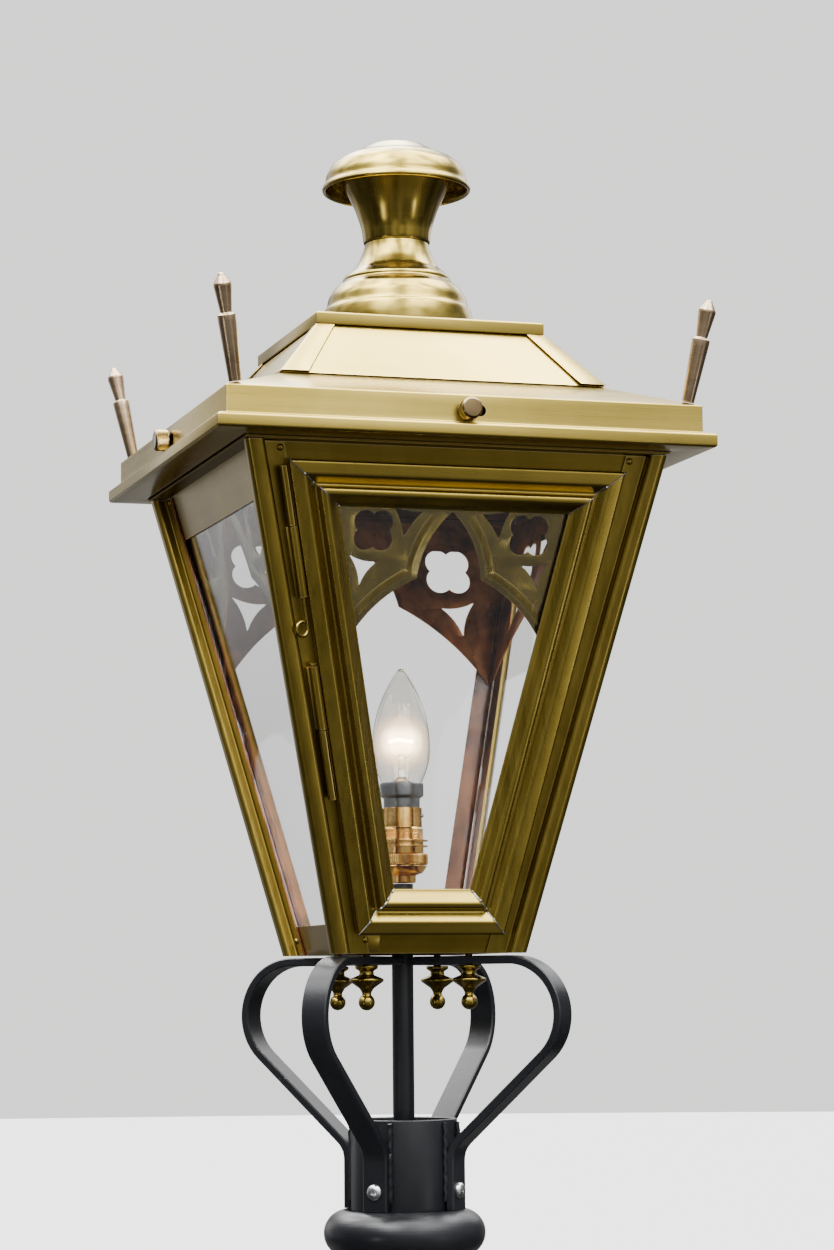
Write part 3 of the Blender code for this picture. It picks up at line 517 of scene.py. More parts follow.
def on_diagonal(quarter):
    """The lantern's frame turned so that X points out along an arm of the cradle."""
    return ON_LANTERN @ Matrix.Rotation(math.radians(45 + 90 * quarter), 4, "Z")


for corner, quarter in zip(CORNERS, ARM_QUARTERS):
    turn = on_diagonal(quarter)
    for hand, hand_name in HANDS:
        bead_path = []
        for k in range(22):
            out = 0.0322 + 0.0004 * math.sin(k * 1.9 + quarter)
            bead_path.append(turn @ Vector((out, hand * 0.0081, -0.0995 - 0.0022 * k)))
        weld = tube_along(
            f"weld_bead_{corner}_{hand_name}", bead_path,
            lambda k: 0.0011 + 0.0004 * abs(math.sin(k * 1.35 + quarter)), BLACK_PAINT, sides=8,
        )
        added(weld, "post")

# ---- Cradle arms -------------------------------------------------------------------------------
# Four flat steel bars, each bent over at a shoulder, down to the collar. The lantern's floor is
# bolted to their ears. A stainless button screw with a hexagon socket holds each leg.
arm_width, arm_thick, leg_out = 0.016, 0.005, 0.0373
shoulder_x, shoulder_r, ear_z = 0.074, 0.035, -0.0010
bend = math.radians(48)
arm_line = [Vector((0.012, ear_z)), Vector((0.040, ear_z))]
for step in range(33):
    a = math.pi / 2 - (math.pi / 2 + bend) * step / 32
    round_shoulder = Vector((math.cos(a), math.sin(a) - 1)) * shoulder_r
    arm_line.append(Vector((shoulder_x, ear_z)) + round_shoulder)
run = (arm_line[-1].x - leg_out) / math.sin(bend)
elbow = Vector((leg_out, arm_line[-1].y - run * math.cos(bend)))
arm_line += eased([arm_line[-1], elbow, Vector((leg_out, -0.1510))], 0.006, closed=False, steps=5)[1:]


def bar_along(name, line, place, finish):
    """A flat bar whose outer face follows the line, with eased edges."""
    half, ease = arm_width / 2, 0.0007
    ring = [
        (-half + ease, 0), (half - ease, 0), (half, ease), (half, arm_thick - ease),
        (half - ease, arm_thick), (-half + ease, arm_thick), (-half, arm_thick - ease), (-half, ease),
    ]
    rings = []
    for index, here in enumerate(line):
        runs = []
        if index:
            runs.append((here - line[index - 1]).normalized())
        if index + 1 < len(line):
            runs.append((line[index + 1] - here).normalized())
        normals = [Vector((direction.y, -direction.x)) for direction in runs]
        mean = sum(normals, Vector((0, 0))).normalized()
        stretch = 1 / mean.dot(normals[0])
        rings.append([
            place @ Vector((
                here.x + mean.x * depth * stretch, across, here.y + mean.y * depth * stretch,
            ))
            for across, depth in ring
        ])
    return lofted(name, rings, finish)


def brushed_group():
    """Brush lines that run along the axes with small numbers in Stretch, in the piece's own space."""
    stretches = [("Stretch", "Vector", (900.0, 900.0, 22.0))]
    group, given, out = shared_group("brushed", stretches, ["Fine", "Broad"])
    place = node(group, "TexCoord").outputs["Object"]
    for label, shrink, detail in (("Fine", 1.0, 3.0), ("Broad", 0.21, 4.0)):
        stretch = node(group, "VectorMath", place, given["Stretch"], operation="MULTIPLY").outputs[0]
        shrunk = node(group, "VectorMath", stretch, operation="SCALE", scale=shrink).outputs[0]
        grain = node(group, "TexNoise", shrunk, scale=1.0, detail=detail, roughness=0.62).outputs[0]
        level = node(group, "MapRange", grain, from_min=0.3, from_max=0.7)
        feed(group, out[label], level.outputs[0])
    return group


BRUSHED = brushed_group()


def metal_finish(name, tints, gloss, blotch_size, speck_size, stretch=None, depth=0.0, strength=0.3,
                 metallic=1.0, rubbed=None):
    """A metal mottled in two tints, with its roughness between the two numbers of gloss.

    stretch gives it brush lines, depth and strength its relief, and rubbed a third tint for edges.
    """
    made, tree, shader = fresh_material(name)
    mottle = use_group(tree, MOTTLE, blotch_size=blotch_size, speck_size=speck_size)
    tint = blend_colour(tree, mottle["Blotches"], *tints)
    rough, height = mottle["Specks"], mottle["Blotches"]
    if stretch:
        brushed = use_group(tree, BRUSHED, stretch=stretch)
        rough, height = brushed["Broad"], brushed["Fine"]
    if rubbed:
        edge_share = use_group(tree, EDGE_MASK, width=0.0005, strength=5.0)["Wear"]
        tint = blend_colour(tree, spread(tree, edge_share, 0.0, 0.6), tint, rubbed)
    shade(tree, shader, base_color=tint, roughness=spread(tree, rough, *gloss), metallic=metallic)
    if depth:
        relief(tree, shader, height, depth, strength)
    return made


STAINLESS = metal_finish(
    "stainless_steel", ((0.52, 0.52, 0.53), (0.66, 0.66, 0.67)), (0.16, 0.34), 60.0, 900.0
)


def button_screw(name, place, finish):
    """A domed screw head with a hexagon socket; place's Z points out of the head."""
    hexagon = [(1.5 * math.cos(math.pi * k / 3), 1.5 * math.sin(math.pi * k / 3)) for k in range(6)]
    rows = [(4.85, -0.2), (4.85, 0.5), (4.5, 1.3), (3.7, 2.0), (2.6, 2.5)]
    sides = 36
    rings = []
    for radius, height in rows:
        rings.append([place @ Vector((radius * x, radius * y, height)) for x, y in ring_of(sides)])
    for rise in (2.55, 0.9):
        row = []
        for k in range(sides):
            share, step = (k % 6) / 6, k // 6
            x = hexagon[step][0] * (1 - share) + hexagon[(step + 1) % 6][0] * share
            y = hexagon[step][1] * (1 - share) + hexagon[(step + 1) % 6][1] * share
            row.append(place @ Vector((x, y, rise)))
        rings.append(row)
    return lofted(name, rings, finish, 30)


MM = Matrix.Diagonal((0.001, 0.001, 0.001, 1))
for corner, quarter in zip(CORNERS, ARM_QUARTERS):
    turn = on_diagonal(quarter)
    arm = bar_along(f"bent_arm_{corner}", arm_line, turn, BLACK_PAINT)
    fitted(arm, "post", f"cradle_arm_{corner}")
    seat = turn @ Matrix.Translation((leg_out, 0, -0.1396))
    seat = seat @ Matrix.Rotation(math.pi / 2, 4, "Y") @ MM
    screw = button_screw(f"leg_screw_{corner}", seat, STAINLESS)
    added(screw, "post")

# ---- Brass finish ------------------------------------------------------------------------------
# Antique brass sheet: brushed, toned to a dark olive and lacquered, rubbed paler along its edges,
# where the pale edge is also a painted highlight, and left copper-brown on the faces that look
# into the lantern.


def inward_group():
    """A mask that is one where a surface looks towards the lantern's own axis."""
    group, given, out = shared_group("looks_inward", [("Limit", "Float", -0.1)], ["Inward"])
    place = node(group, "TexCoord").outputs
    level = node(group, "VectorMath", place["Object"], (1, 1, 0), operation="MULTIPLY").outputs[0]
    outward = node(group, "VectorMath", level, operation="NORMALIZE").outputs[0]
    facing = node(group, "VectorMath", outward, place["Normal"], operation="DOT_PRODUCT")
    limit_low = node(group, "Math", given["Limit"], 0.12, operation="SUBTRACT").outputs[0]
    mask = node(
        group, "MapRange", facing.outputs["Value"], from_min=limit_low, from_max=given["Limit"],
        to_min=1.0, to_max=0.0,
    )
    feed(group, out["Inward"], mask.outputs[0])
    return group


LOOKS_INWARD = inward_group()
GRAIN_UP, GRAIN_LEVEL = (1100.0, 1100.0, 24.0), (24.0, 24.0, 1100.0)
# The last of these is the pale edge colour: rubbed wear, and also a painted highlight along the
# edges.
OLIVE_DARK, OLIVE_LIGHT, RUBBED_AND_HIGHLIGHT_EDGE = (0.19, 0.128, 0.014), (0.43, 0.315, 0.060), (0.80, 0.62, 0.26)
COPPER_DARK, COPPER_LIGHT = (0.095, 0.030, 0.011), (0.46, 0.17, 0.062)


def brass_finish(name, stretch, tone=0.5, gloss=0.30, inward_limit=-2.0, wear_and_highlight_strength=5.0,
                 dark=OLIVE_DARK, light=OLIVE_LIGHT):
    """Antique brass. tone shifts it from the darkest toning (0) to the palest (1)."""
    made, tree, shader = fresh_material(name)
    brushed = use_group(tree, BRUSHED, stretch=stretch)
    mottle = use_group(tree, MOTTLE, blotch_size=17.0, speck_size=260.0)
    edge_share = use_group(tree, EDGE_MASK, width=0.0009, strength=wear_and_highlight_strength)["Wear"]
    inward = use_group(tree, LOOKS_INWARD, limit=inward_limit)["Inward"]
    blotches = spread(tree, mottle["Blotches"], tone - 0.16, tone + 0.12)
    streaks = spread(tree, brushed["Broad"], -0.09, 0.09)
    toning = node(tree, "Math", blotches, streaks, operation="ADD").outputs[0]
    outside = blend_colour(tree, toning, dark, light)
    # Edges are painted pale: rubbed wear, and a painted highlight along them.
    outside = blend_colour(tree, spread(tree, edge_share, 0.0, 0.75), outside, RUBBED_AND_HIGHLIGHT_EDGE)
    inside = blend_colour(tree, mottle["Blotches"], COPPER_DARK, COPPER_LIGHT)
    shade(
        tree, shader, base_color=blend_colour(tree, inward, outside, inside), metallic=1.0,
        roughness=spread(tree, brushed["Broad"], gloss - 0.02, gloss + 0.04),
        coat_weight=0.22, coat_roughness=0.12,
    )
    relief(tree, shader, brushed["Fine"], 0.000005, 0.3)
    return made


def line_with(piece, finish, chosen):
    """Gives the faces that chosen(face) picks a second finish."""
    piece.data.materials.append(finish)
    for face in piece.data.polygons:
        if chosen(face):
            face.material_index = 1


# the brown, mottled colour that the unlacquered insides have taken
COPPER_INSIDE = metal_finish(
    "copper_brown_inside", (COPPER_DARK, COPPER_LIGHT), (0.27, 0.33), 34.0, 180.0, GRAIN_UP,
    0.000006, 0.4, metallic=0.72,
)
BRASS_UPRIGHT = brass_finish("antique_brass_upright_grain", GRAIN_UP, tone=0.35)
BRASS_LEVEL = brass_finish("antique_brass_level_grain", GRAIN_LEVEL, tone=0.30, inward_limit=-0.1)
BRASS_TURNED = brass_finish("antique_brass_turned", GRAIN_LEVEL, tone=0.40, gloss=0.24)
BRONZE_TURNED = brass_finish(
    "bronze_turned", GRAIN_LEVEL, tone=0.5, gloss=0.28, dark=(0.27, 0.175, 0.10),
    light=(0.52, 0.385, 0.245),
)

# ---- Drop nuts ---------------------------------------------------------------------------------
# Four turned brass acorn nuts on studs under the ears of the cradle: a small collar, a sharp disc,
# a waist and a ball.
for corner, quarter in zip(CORNERS, ARM_QUARTERS):
    ball = [
        (4.9 * math.cos(a), -28.1 + 4.9 * math.sin(a))
        for a in (math.radians(55 - 14 * step) for step in range(10))
    ]
    nut_profile = [(0, 7), (2.2, 7), (2.2, -6.4), (6.8, -6.4), (6.8, -8.2), (4.2, -9.8), (4.4, -12)]
    nut_profile += [(10.2, -14.4), (10.2, -15.8), (4.2, -20), (2.7, -22.6)] + ball + [(0, -33)]
    stud = on_diagonal(quarter) @ Matrix.Translation((0.045, 0, 0))
    nut = turned(f"acorn_nut_{corner}", nut_profile, BRASS_TURNED, stud, 0.5, 48, closed=False)
    fitted(nut, "post", f"drop_nut_{corner}")

# ---- Lamp tube ---------------------------------------------------------------------------------
# The black conduit that carries the wires up through the floor to the lamp holder.
tube_profile = [(4.8, -150), (6.5, -150), (6.5, 43.0), (4.8, 43.0)]
conduit = turned("lamp_conduit", tube_profile, BLACK_PAINT, ON_LANTERN, ease=0.3, segments=48)
fitted(conduit, "post", "lamp_tube")

# ---- Lantern floor and bottom frame ------------------------------------------------------------
# The square floor plate and the folded bottom rail stay as they were cut. Their sheet edges are
# eased, and a small riveted tab stands on the front rail beside the corner post.


def ease_edges(obj, width, segments=2):
    softened = obj.modifiers.new("eased_edges", "BEVEL")
    softened.width = width
    softened.segments = segments
    softened.limit_method = "ANGLE"
    softened.angle_limit = math.radians(50)
    softened.harden_normals = False


def refinish(node_name, finish):
    for index in range(len(nodes[node_name].material_slots)):
        nodes[node_name].material_slots[index].material = finish


# The rails are coloured darker than the rest of the brass; on the top rail, under the eaves, this
# darkness is painted shade.
BRASS_RAILS = brass_finish("antique_brass_rails", GRAIN_LEVEL, tone=0.12, inward_limit=-0.1)
for node_name in ("base_plate", "bottom_frame", "top_frame"):
    refinish(node_name, BRASS_RAILS)
    ease_edges(nodes[node_name], 0.00025)

body_half_base, body_half_top, body_height = 0.060, 0.128, 0.290
taper = (body_half_top - body_half_base) / body_height
lean = math.atan(taper)


def body_half(height):
    """Half the lantern's width, to the noses of its corner posts, at a height above its base."""
    return body_half_base + taper * height


def side_turn(side):
    """Sides 0 to 3 are front, right, back and left."""
    return Matrix.Rotation(math.radians(90 * side), 4, "Z")


def on_face(side, depth):
    """A frame in a leaning side, that far behind its noses: X along it, Y up it, Z outwards."""
    out = Matrix.Translation((0, -(body_half_base - depth), LANTERN_Z))
    return side_turn(side) @ out @ Matrix.Rotation(math.pi / 2 + lean, 4, "X")


def up_slope(height):
    return height / math.cos(lean)


def slab(name, low, high, place, finish, ease):
    """A small block with eased edges."""
    form = bmesh.new()
    bmesh.ops.create_cube(form, size=1)
    for vert in form.verts:
        vert.co = Vector(tuple(low[k] + (high[k] - low[k]) * (vert.co[k] + 0.5) for k in range(3)))
    bmesh.ops.bevel(form, geom=form.edges[:], offset=ease, segments=2, affect="EDGES", profile=0.5)
    form.transform(place)
    return piece_from(name, form, finish)


def rivet(name, place, radius, finish):
    """A round-headed rivet; place's Z points out of the sheet."""
    r = radius * 1000
    turns = [math.radians(15 * k) for k in range(6)]
    dome = [(r * math.cos(a), 0.15 + 0.62 * r * math.sin(a)) for a in turns]
    profile = [(0, -0.6), (r * 0.98, -0.6)] + dome + [(0, 0.15 + 0.62 * r)]
    return turned(name, profile, finish, place, 0.1, 24, closed=False)


rail_face = on_face(0, 0.0095)
tab_low, tab_high = (-0.0480, 0.0018, 0.0002), (-0.0300, 0.0116, 0.0014)
tab = slab("rail_tab", tab_low, tab_high, rail_face, BRASS_LEVEL, 0.0003)
tab_rivet_place = rail_face @ Matrix.Translation((-0.0388, 0.0088, 0.0013))
tab_rivet = rivet("rail_tab_rivet", tab_rivet_place, 0.0019, BRASS_TURNED)
for piece in (tab, tab_rivet):
    added(piece, "post")

# ---- Corner posts ------------------------------------------------------------------------------
# Each post is one strip of brass folded round a rounded nose, with a flange along each side of the
# lantern. Rivets join the flanges to the top and bottom rails.
nose = [
    (11.5, 8.0), (11.5, 2.8), (9.4, 0.4), (4.2, 0.0), (1.2, 1.2), (0.0, 4.2), (0.4, 9.4), (2.8, 11.5),
    (8.0, 11.5),
]
outer_line = [(24, 8.0)] + nose + [(8.0, 24)]
inner_line = [
    (9.2, 24), (9.2, 12.6), (7.8, 10.3), (3.6, 10.3), (1.6, 8.6), (1.2, 4.6), (2.1, 2.1), (4.6, 1.2),
    (8.6, 1.6), (10.3, 3.6), (10.3, 7.8), (12.6, 9.2), (24, 9.2),
]
post_section = eased(outer_line, 1.3, closed=False, steps=4)
outside_points = len(post_section)
post_section += eased(inner_line, 0.9, closed=False, steps=3)


for quarter, corner in enumerate(CORNERS):
    turn = side_turn(quarter)
    sections = []
    for step in range(9):
        height = 0.0003 + (body_height - 0.0003) * step / 8
        half = body_half(height)
        sections.append([
            turn @ Vector((u / 1000 - half, v / 1000 - half, LANTERN_Z + height))
            for u, v in post_section
        ])
    post = lofted(f"folded_post_{corner}", sections, BRASS_UPRIGHT)
    line_with(post, COPPER_INSIDE, lambda face: face.index % len(post_section) >= outside_points)
    fitted(post, "post", f"corner_post_{corner}")
    for side, (hand, hand_name) in zip((quarter, (quarter - 1) % 4), HANDS):
        face = on_face(side, 0.008)
        for label, height, inset in (("top", 0.2868, 0.0212), ("foot", 0.0091, 0.0175)):
            if side == 0 and label == "foot":
                continue
            across = hand * (body_half(height) - inset)
            spot = face @ Matrix.Translation((across, up_slope(height), 0.0))
            pin = rivet(f"post_rivet_{corner}_{label}_{hand_name}", spot, 0.0020, BRASS_TURNED)
            added(pin, "post")

# ---- Side panes --------------------------------------------------------------------------------
# Plain float glass in the right, back and left sides, held behind the posts' flanges.


def clear_glass(name):
    """Clear glass: a faint waviness only, in its relief."""
    made, tree, shader = fresh_material(name)
    mottle = use_group(tree, MOTTLE, blotch_size=7.0, speck_size=130.0)
    shade(
        tree, shader, base_color=(0.985, 0.995, 0.99, 1), roughness=0.0, transmission_weight=1.0,
        ior=1.46, specular_ior_level=0.3,
    )
    relief(tree, shader, mottle["Blotches"], 0.000006, 0.15)
    return made


PANE_GLASS = clear_glass("pane_glass")
for side_name in ("right", "back", "left"):
    refinish(f"glass_pane_{side_name}", PANE_GLASS)
    ease_edges(nodes[f"glass_pane_{side_name}"], 0.0003)

# ---- Side frets --------------------------------------------------------------------------------
# Pierced brass plates behind the panes: a pointed, cusped arch with a quatrefoil and two curved
# triangles in each corner, olive outside and copper inside, with a raised band along the arch.


def bowed(start, end, bulge, steps):
    """Points from start up to, not including, end, on a shallow arc that bulges to the left."""
    (x0, y0), (x1, y1) = start, end
    chord = math.hypot(x1 - x0, y1 - y0)
    points = []
    for step in range(steps):
        along = step / steps
        rise = 4 * bulge * along * (1 - along)
        points.append((
            x0 + (x1 - x0) * along - (y1 - y0) / chord * rise,
            y0 + (y1 - y0) * along + (x1 - x0) / chord * rise,
        ))
    return points


def quatrefoil(centre, reach, lobe):
    """Four round lobes on the diagonals that meet in blunt cusps."""
    sweep = 135 - math.degrees(math.acos(reach * math.sin(math.pi / 4) / lobe))
    points = []
    for quarter in range(4):
        a = math.radians(45 + 90 * quarter)
        middle = (centre[0] + reach * math.cos(a), centre[1] + reach * math.sin(a))
        for step in range(18):
            b = a + math.radians(-sweep + 2 * sweep * step / 18)
            points.append((middle[0] + lobe * math.cos(b), middle[1] + lobe * math.sin(b)))
    return points


def bowed_triangle(corners, bulge, round_off):
    line = []
    for index, corner in enumerate(corners):
        line += bowed(corner, corners[(index + 1) % 3], bulge, 4)
    return [tuple(point) for point in eased(line, round_off, steps=3)]


def mirrored(points):
    return [(-x, y) for x, y in reversed(points)]


def fret_drawing(half_at, top, apex, cusp, ends, swell, foil, lobes, lower, upper):
    """The plate's outlines, and the right-hand line of its arch, in the face's own metres.

    half_at gives the plate's half width at a height. The rest is millimetres across and down from
    the arch's point: its cusp and end, how far its sides swell, the quatrefoil's middle and lobes,
    and the two curved triangles.
    """

    def at(x, down):
        return (x / 1000, up_slope(apex - down / 1000))

    end_height = apex - ends[1] / 1000
    arch = bowed(at(0, 0), at(*cusp), 1.15 * swell / 1000, 14)
    arch += bowed(at(*cusp), at(*ends), swell / 1000, 14) + [at(*ends)]
    edge = [(-half_at(top), up_slope(top)), (-half_at(end_height), up_slope(end_height))]
    edge += mirrored(arch)[:-1] + arch
    edge += [(half_at(end_height), up_slope(end_height)), (half_at(top), up_slope(top))]
    kept = [edge[0]]
    for point in edge[1:]:
        if math.dist(point, kept[-1]) > 1e-4:
            kept.append(point)
    holes = [
        quatrefoil(at(*foil), lobes[0] / 1000, lobes[1] / 1000),
        bowed_triangle([at(*corner) for corner in lower], 0.0004 * swell, 0.0012),
        bowed_triangle([at(*corner) for corner in upper], 0.0002 * swell, 0.0010),
    ]
    return [kept] + holes + [mirrored(hole) for hole in holes], arch


def arch_band(name, arch, place, finish, inset, width, rise, skip):
    """A low half-round band that follows the arch on one side of it, set in from the cut edge."""
    line = [Vector(point) for point in arch]
    offset = []
    for index, here in enumerate(line):
        before, after = line[max(index - 1, 0)], line[min(index + 1, len(line) - 1)]
        along = (after - before).normalized()
        offset.append((here, Vector((-along.y, along.x))))
    sections = []
    for here, left in offset[skip:-1]:
        middle = here + left * inset
        sections.append([
            place @ Vector((*(middle + left * (width / 2 * x)), rise * y))
            for x, y in ((-1, 0.5), (-0.7, 0.82), (-0.3, 0.98), (0.3, 0.98), (0.7, 0.82), (1, 0.5))
        ])
    return lofted(name, sections, finish)


# The fret is coloured darker than the other brass: painted shade for its place behind the glass and
# under the moulding.
BRASS_FRET = brass_finish(
    "antique_brass_fret", GRAIN_UP, tone=0.4, gloss=0.24, wear_and_highlight_strength=1.0,
    dark=(0.085, 0.060, 0.010), light=(0.30, 0.22, 0.042),
)


def pierced_fret(plate_name, band_name, body, solid, face, drawn, band_size):
    """A fret plate lined with copper, and the two halves of the band along its arch."""
    drawing, arch = drawn
    fret = flat_plate(plate_name, drawing, 0.0010, BRASS_FRET, face, edge=0.00015)
    out = face.to_3x3() @ Vector((0, 0, 1))
    line_with(fret, COPPER_INSIDE, lambda polygon: polygon.normal.dot(out) < 0.8)
    fitted(fret, body, solid)
    inset, width, rise = band_size
    for hand, hand_name in HANDS:
        line = [(hand * x, y) for x, y in arch]
        side_band = arch_band(
            f"{band_name}_{hand_name}", line, face, BRASS_FRET, hand * inset, width, rise, 3
        )
        added(side_band, body)


for side, side_name in ((1, "right"), (2, "back"), (3, "left")):
    drawn = fret_drawing(
        lambda height: body_half(height) - 0.0170, 0.2800, 0.2650, (28.4, 41.1), (83.5, 90.0), 4.8,
        (63.3, 17.0), (8.6, 8.5), [(79.5, 37.1), (56.7, 41.4), (70.5, 60.3)],
        [(47.0, -2.0), (24.0, 1.2), (38.7, 20.1)],
    )
    pierced_fret(
        f"pierced_fret_{side_name}", f"arch_band_{side_name}", "post", f"fret_{side_name}",
        on_face(side, 0.0141 + 0.0005), drawn, (0.0070, 0.0062, 0.0007),
    )

# ---- Lamp holder -------------------------------------------------------------------------------
# A bright brass bayonet holder: a domed base on the conduit, a knurled ring, and a threaded shell
# with two hooked slots and two thin shade rings.
BRIGHT_BRASS = metal_finish(
    "bright_brass", ((0.66, 0.34, 0.065), (0.86, 0.54, 0.15)), (0.14, 0.26), 90.0, 700.0,
    (60.0, 60.0, 2600.0), 0.000004, rubbed=(0.95, 0.74, 0.36),
)
holder_base_profile = [
    (6.8, 43.6), (8.2, 43.6), (8.2, 48), (12.5, 49.6), (15.2, 53.9), (11.6, 53.9), (11.6, 51.2),
    (6.8, 50.2),
]
holder_base = turned("holder_dome", holder_base_profile, BRIGHT_BRASS, ON_LANTERN, ease=0.7)
fitted(holder_base, "post", "holder_base")

ring_profile = [
    (12.2, 54.2), (14.8, 54.2), (15.6, 55), (15.6, 56.4), (15.6, 59), (15.6, 60.4), (14.8, 61.2),
    (12.2, 61.2),
]
holder_ring = turned(
    "knurled_ring", ring_profile, BRIGHT_BRASS, ON_LANTERN, 0.3, 288, ribs=(54.9, 60.5, 72, 0.45)
)
fitted(holder_ring, "post", "holder_ring")

shell_profile = [(11.35, 61.5), (13.0, 61.5), (13.0, 65.2), (15.7, 65.2), (15.7, 66.0), (13.0, 66.0)]
shell_profile += [(13.0, 68.6), (15.7, 68.6), (15.7, 69.4), (13.0, 69.4)]
for turn_count in range(7):
    thread_z = 69.9 + 0.9 * turn_count
    shell_profile += [(13.0, thread_z), (12.55, thread_z + 0.45)]
shell_profile += [(13.0, 76.0), (12.2, 77.0), (12.2, 88.8), (11.35, 88.8)]
shell = turned("holder_barrel", shell_profile, BRIGHT_BRASS, ON_LANTERN, 0.12, 96)


def bored(piece, cutters):
    """Cuts the pieces in cutters out of piece, for good."""
    for cutter in cutters:
        tool = piece.modifiers.new("bore", "BOOLEAN")
        tool.operation = "DIFFERENCE"
        tool.solver = "EXACT"
        tool.object = cutter
    result = finished_mesh(piece)
    piece.modifiers.clear()
    piece.data = result
    for cutter in cutters:
        bpy.data.objects.remove(cutter)
    result.shade_smooth()
    result.set_sharp_from_angle(angle=math.radians(38))


PIN_DEG = -16.7  # where the bulb's two pins face
slot_tools = []
for pin_deg in (PIN_DEG, PIN_DEG + 180):
    for low, high, first, last in ((80.0, 85.6, -8, 26), (84.0, 95.0, 14, 26)):
        spread_angles = [math.radians(pin_deg + first + (last - first) * k / 6) for k in range(7)]
        section = [(0.009 * math.cos(a), 0.009 * math.sin(a)) for a in spread_angles]
        section += [(0.017 * math.cos(a), 0.017 * math.sin(a)) for a in reversed(spread_angles)]
        ends = [
            [Vector((x, y, LANTERN_Z + z / 1000)) for x, y in section] for z in (low, high)
        ]
        slot_tools.append(lofted("slot_tool", ends, BRIGHT_BRASS))
bored(shell, slot_tools)
fitted(shell, "post", "holder_shell")

# ---- Lamp contacts -----------------------------------------------------------------------------
# The holder's moulded insulator with its two sprung contacts, hidden inside the shell.


def insulator_finish():
    made, tree, shader = fresh_material("moulded_insulator")
    specks = use_group(tree, MOTTLE, blotch_size=120.0, speck_size=1500.0)["Specks"]
    tint = blend_colour(tree, specks, (0.030, 0.026, 0.022), (0.052, 0.045, 0.038))
    shade(tree, shader, base_color=tint, roughness=0.45)
    return made


refinish("holder_plungers", insulator_finish())
ease_edges(nodes["holder_plungers"], 0.0002)

# ---- Candle bulb -------------------------------------------------------------------------------
# A clear candle bulb, lit: a dull zinc bayonet cap, a thin glass envelope, a glass stem with two
# support wires, and a coiled filament across its middle.
FILAMENT_Z = LANTERN_Z + 0.1290
pin_turn = Matrix.Rotation(math.radians(PIN_DEG), 4, "Z")
ZINC = metal_finish(
    "dull_zinc", ((0.20, 0.205, 0.215), (0.36, 0.365, 0.375)), (0.30, 0.46), 70.0, 600.0,
    (40.0, 40.0, 1800.0), 0.000004,
)
cap_profile = [
    (0, 104.3), (12.6, 104.3), (13.3, 103.4), (13.3, 96.2), (12.6, 95.6), (11, 94.6), (11, 81),
    (9.5, 79.5), (0, 79.5),
]
cap = turned("bulb_bayonet_cap", cap_profile, ZINC, ON_LANTERN, 0.35, 96, closed=False)
pin_place = ON_LANTERN @ Matrix.Translation((0, 0, 0.0841)) @ pin_turn
pin_place = pin_place @ Matrix.Rotation(math.pi / 2, 4, "Y")
pins_profile = [(0, 13.2), (1.0, 13.2), (1.0, -13.2), (0, -13.2)]
cap_pins = turned("bulb_cap_pins", pins_profile, ZINC, pin_place, 0.2, 24, closed=False)
for piece in (cap, cap_pins):
    added(piece, "bulb")
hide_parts("bulb_cap")


def lit_glass_finish():
    """Clear glass with the faint veil of light that a lit filament throws into it."""
    made, tree, shader = fresh_material("lit_bulb_glass")
    parts = node(tree, "SeparateXYZ", node(tree, "TexCoord").outputs["Object"]).outputs
    away = node(tree, "Math", parts["Z"], FILAMENT_Z, operation="SUBTRACT").outputs[0]
    size = node(tree, "Math", away, operation="ABSOLUTE").outputs[0]
    fading = {"interpolation_type": "SMOOTHERSTEP", "to_min": 1.0, "to_max": 0.0}
    veil = node(tree, "MapRange", size, from_max=0.030, **fading).outputs[0]
    rim = node(tree, "LayerWeight", blend=0.5).outputs["Facing"]
    middle = node(tree, "MapRange", rim, from_max=0.55, **fading).outputs[0]
    both = node(tree, "Math", veil, middle, operation="MULTIPLY").outputs[0]
    glow = colour_ramp(tree, both, [
        (0.0, (0.018, 0.014, 0.008)), (0.50, (0.050, 0.031, 0.014)), (0.84, (0.26, 0.155, 0.060)),
        (0.99, (1.0, 0.76, 0.42)),
    ], "LINEAR")
    shade(
        tree, shader, roughness=0.0, ior=1.45, transmission_weight=1.0, emission_color=glow,
        emission_strength=2.6,
    )
    return made


def through(points, steps):
    """A smooth line through the points."""
    out = []
    for index in range(len(points) - 1):
        p0 = points[max(index - 1, 0)]
        p1, p2 = points[index], points[index + 1]
        p3 = points[min(index + 2, len(points) - 1)]
        for step in range(steps):
            t = step / steps
            out.append(0.5 * (
                2 * p1 + (p2 - p0) * t + (2 * p0 - 5 * p1 + 4 * p2 - p3) * t * t
                + (3 * p1 - p0 - 3 * p2 + p3) * t ** 3
            ))
    return out + [points[-1]]


envelope = through([Vector(point) for point in (
    (12.4, 104.7), (13.4, 106.6), (15.2, 111), (16.9, 117.5), (17.5, 126), (16.8, 137), (14.1, 149),
    (9.6, 160), (5.2, 168), (2.4, 172), (1.2, 173.6),
)], 5)
glass_wall = 0.6
inside = [Vector((max(p.x - glass_wall, 0.05), min(p.y, 172.2))) for p in envelope[:-4]]
bulb_profile = [(0, 174), *map(tuple, reversed(envelope)), *map(tuple, inside), (0, 171.6)]
bulb = turned("candle_envelope", bulb_profile, lit_glass_finish(), ON_LANTERN, 0.05, 72, closed=False)
fitted(bulb, "bulb", "bulb_glass")

stem_profile = [
    (0, 104.4), (6.0, 104.4), (3.4, 107), (2.0, 112), (1.9, 119), (2.6, 120.4), (1.6, 121.6),
    (0, 121.8),
]
stem = turned("bulb_stem", stem_profile, clear_glass("stem_glass"), ON_LANTERN, 0.5, 40, closed=False)


def glowing_finish():
    made, tree, shader = fresh_material("glowing_filament")
    blotches = use_group(tree, MOTTLE, blotch_size=300.0, speck_size=2000.0)["Blotches"]
    glow = blend_colour(tree, blotches, (1.0, 0.62, 0.26), (1.0, 0.80, 0.48))
    shade(tree, shader, base_color=(0.4, 0.3, 0.2, 1), emission_color=glow, emission_strength=95.0)
    return made


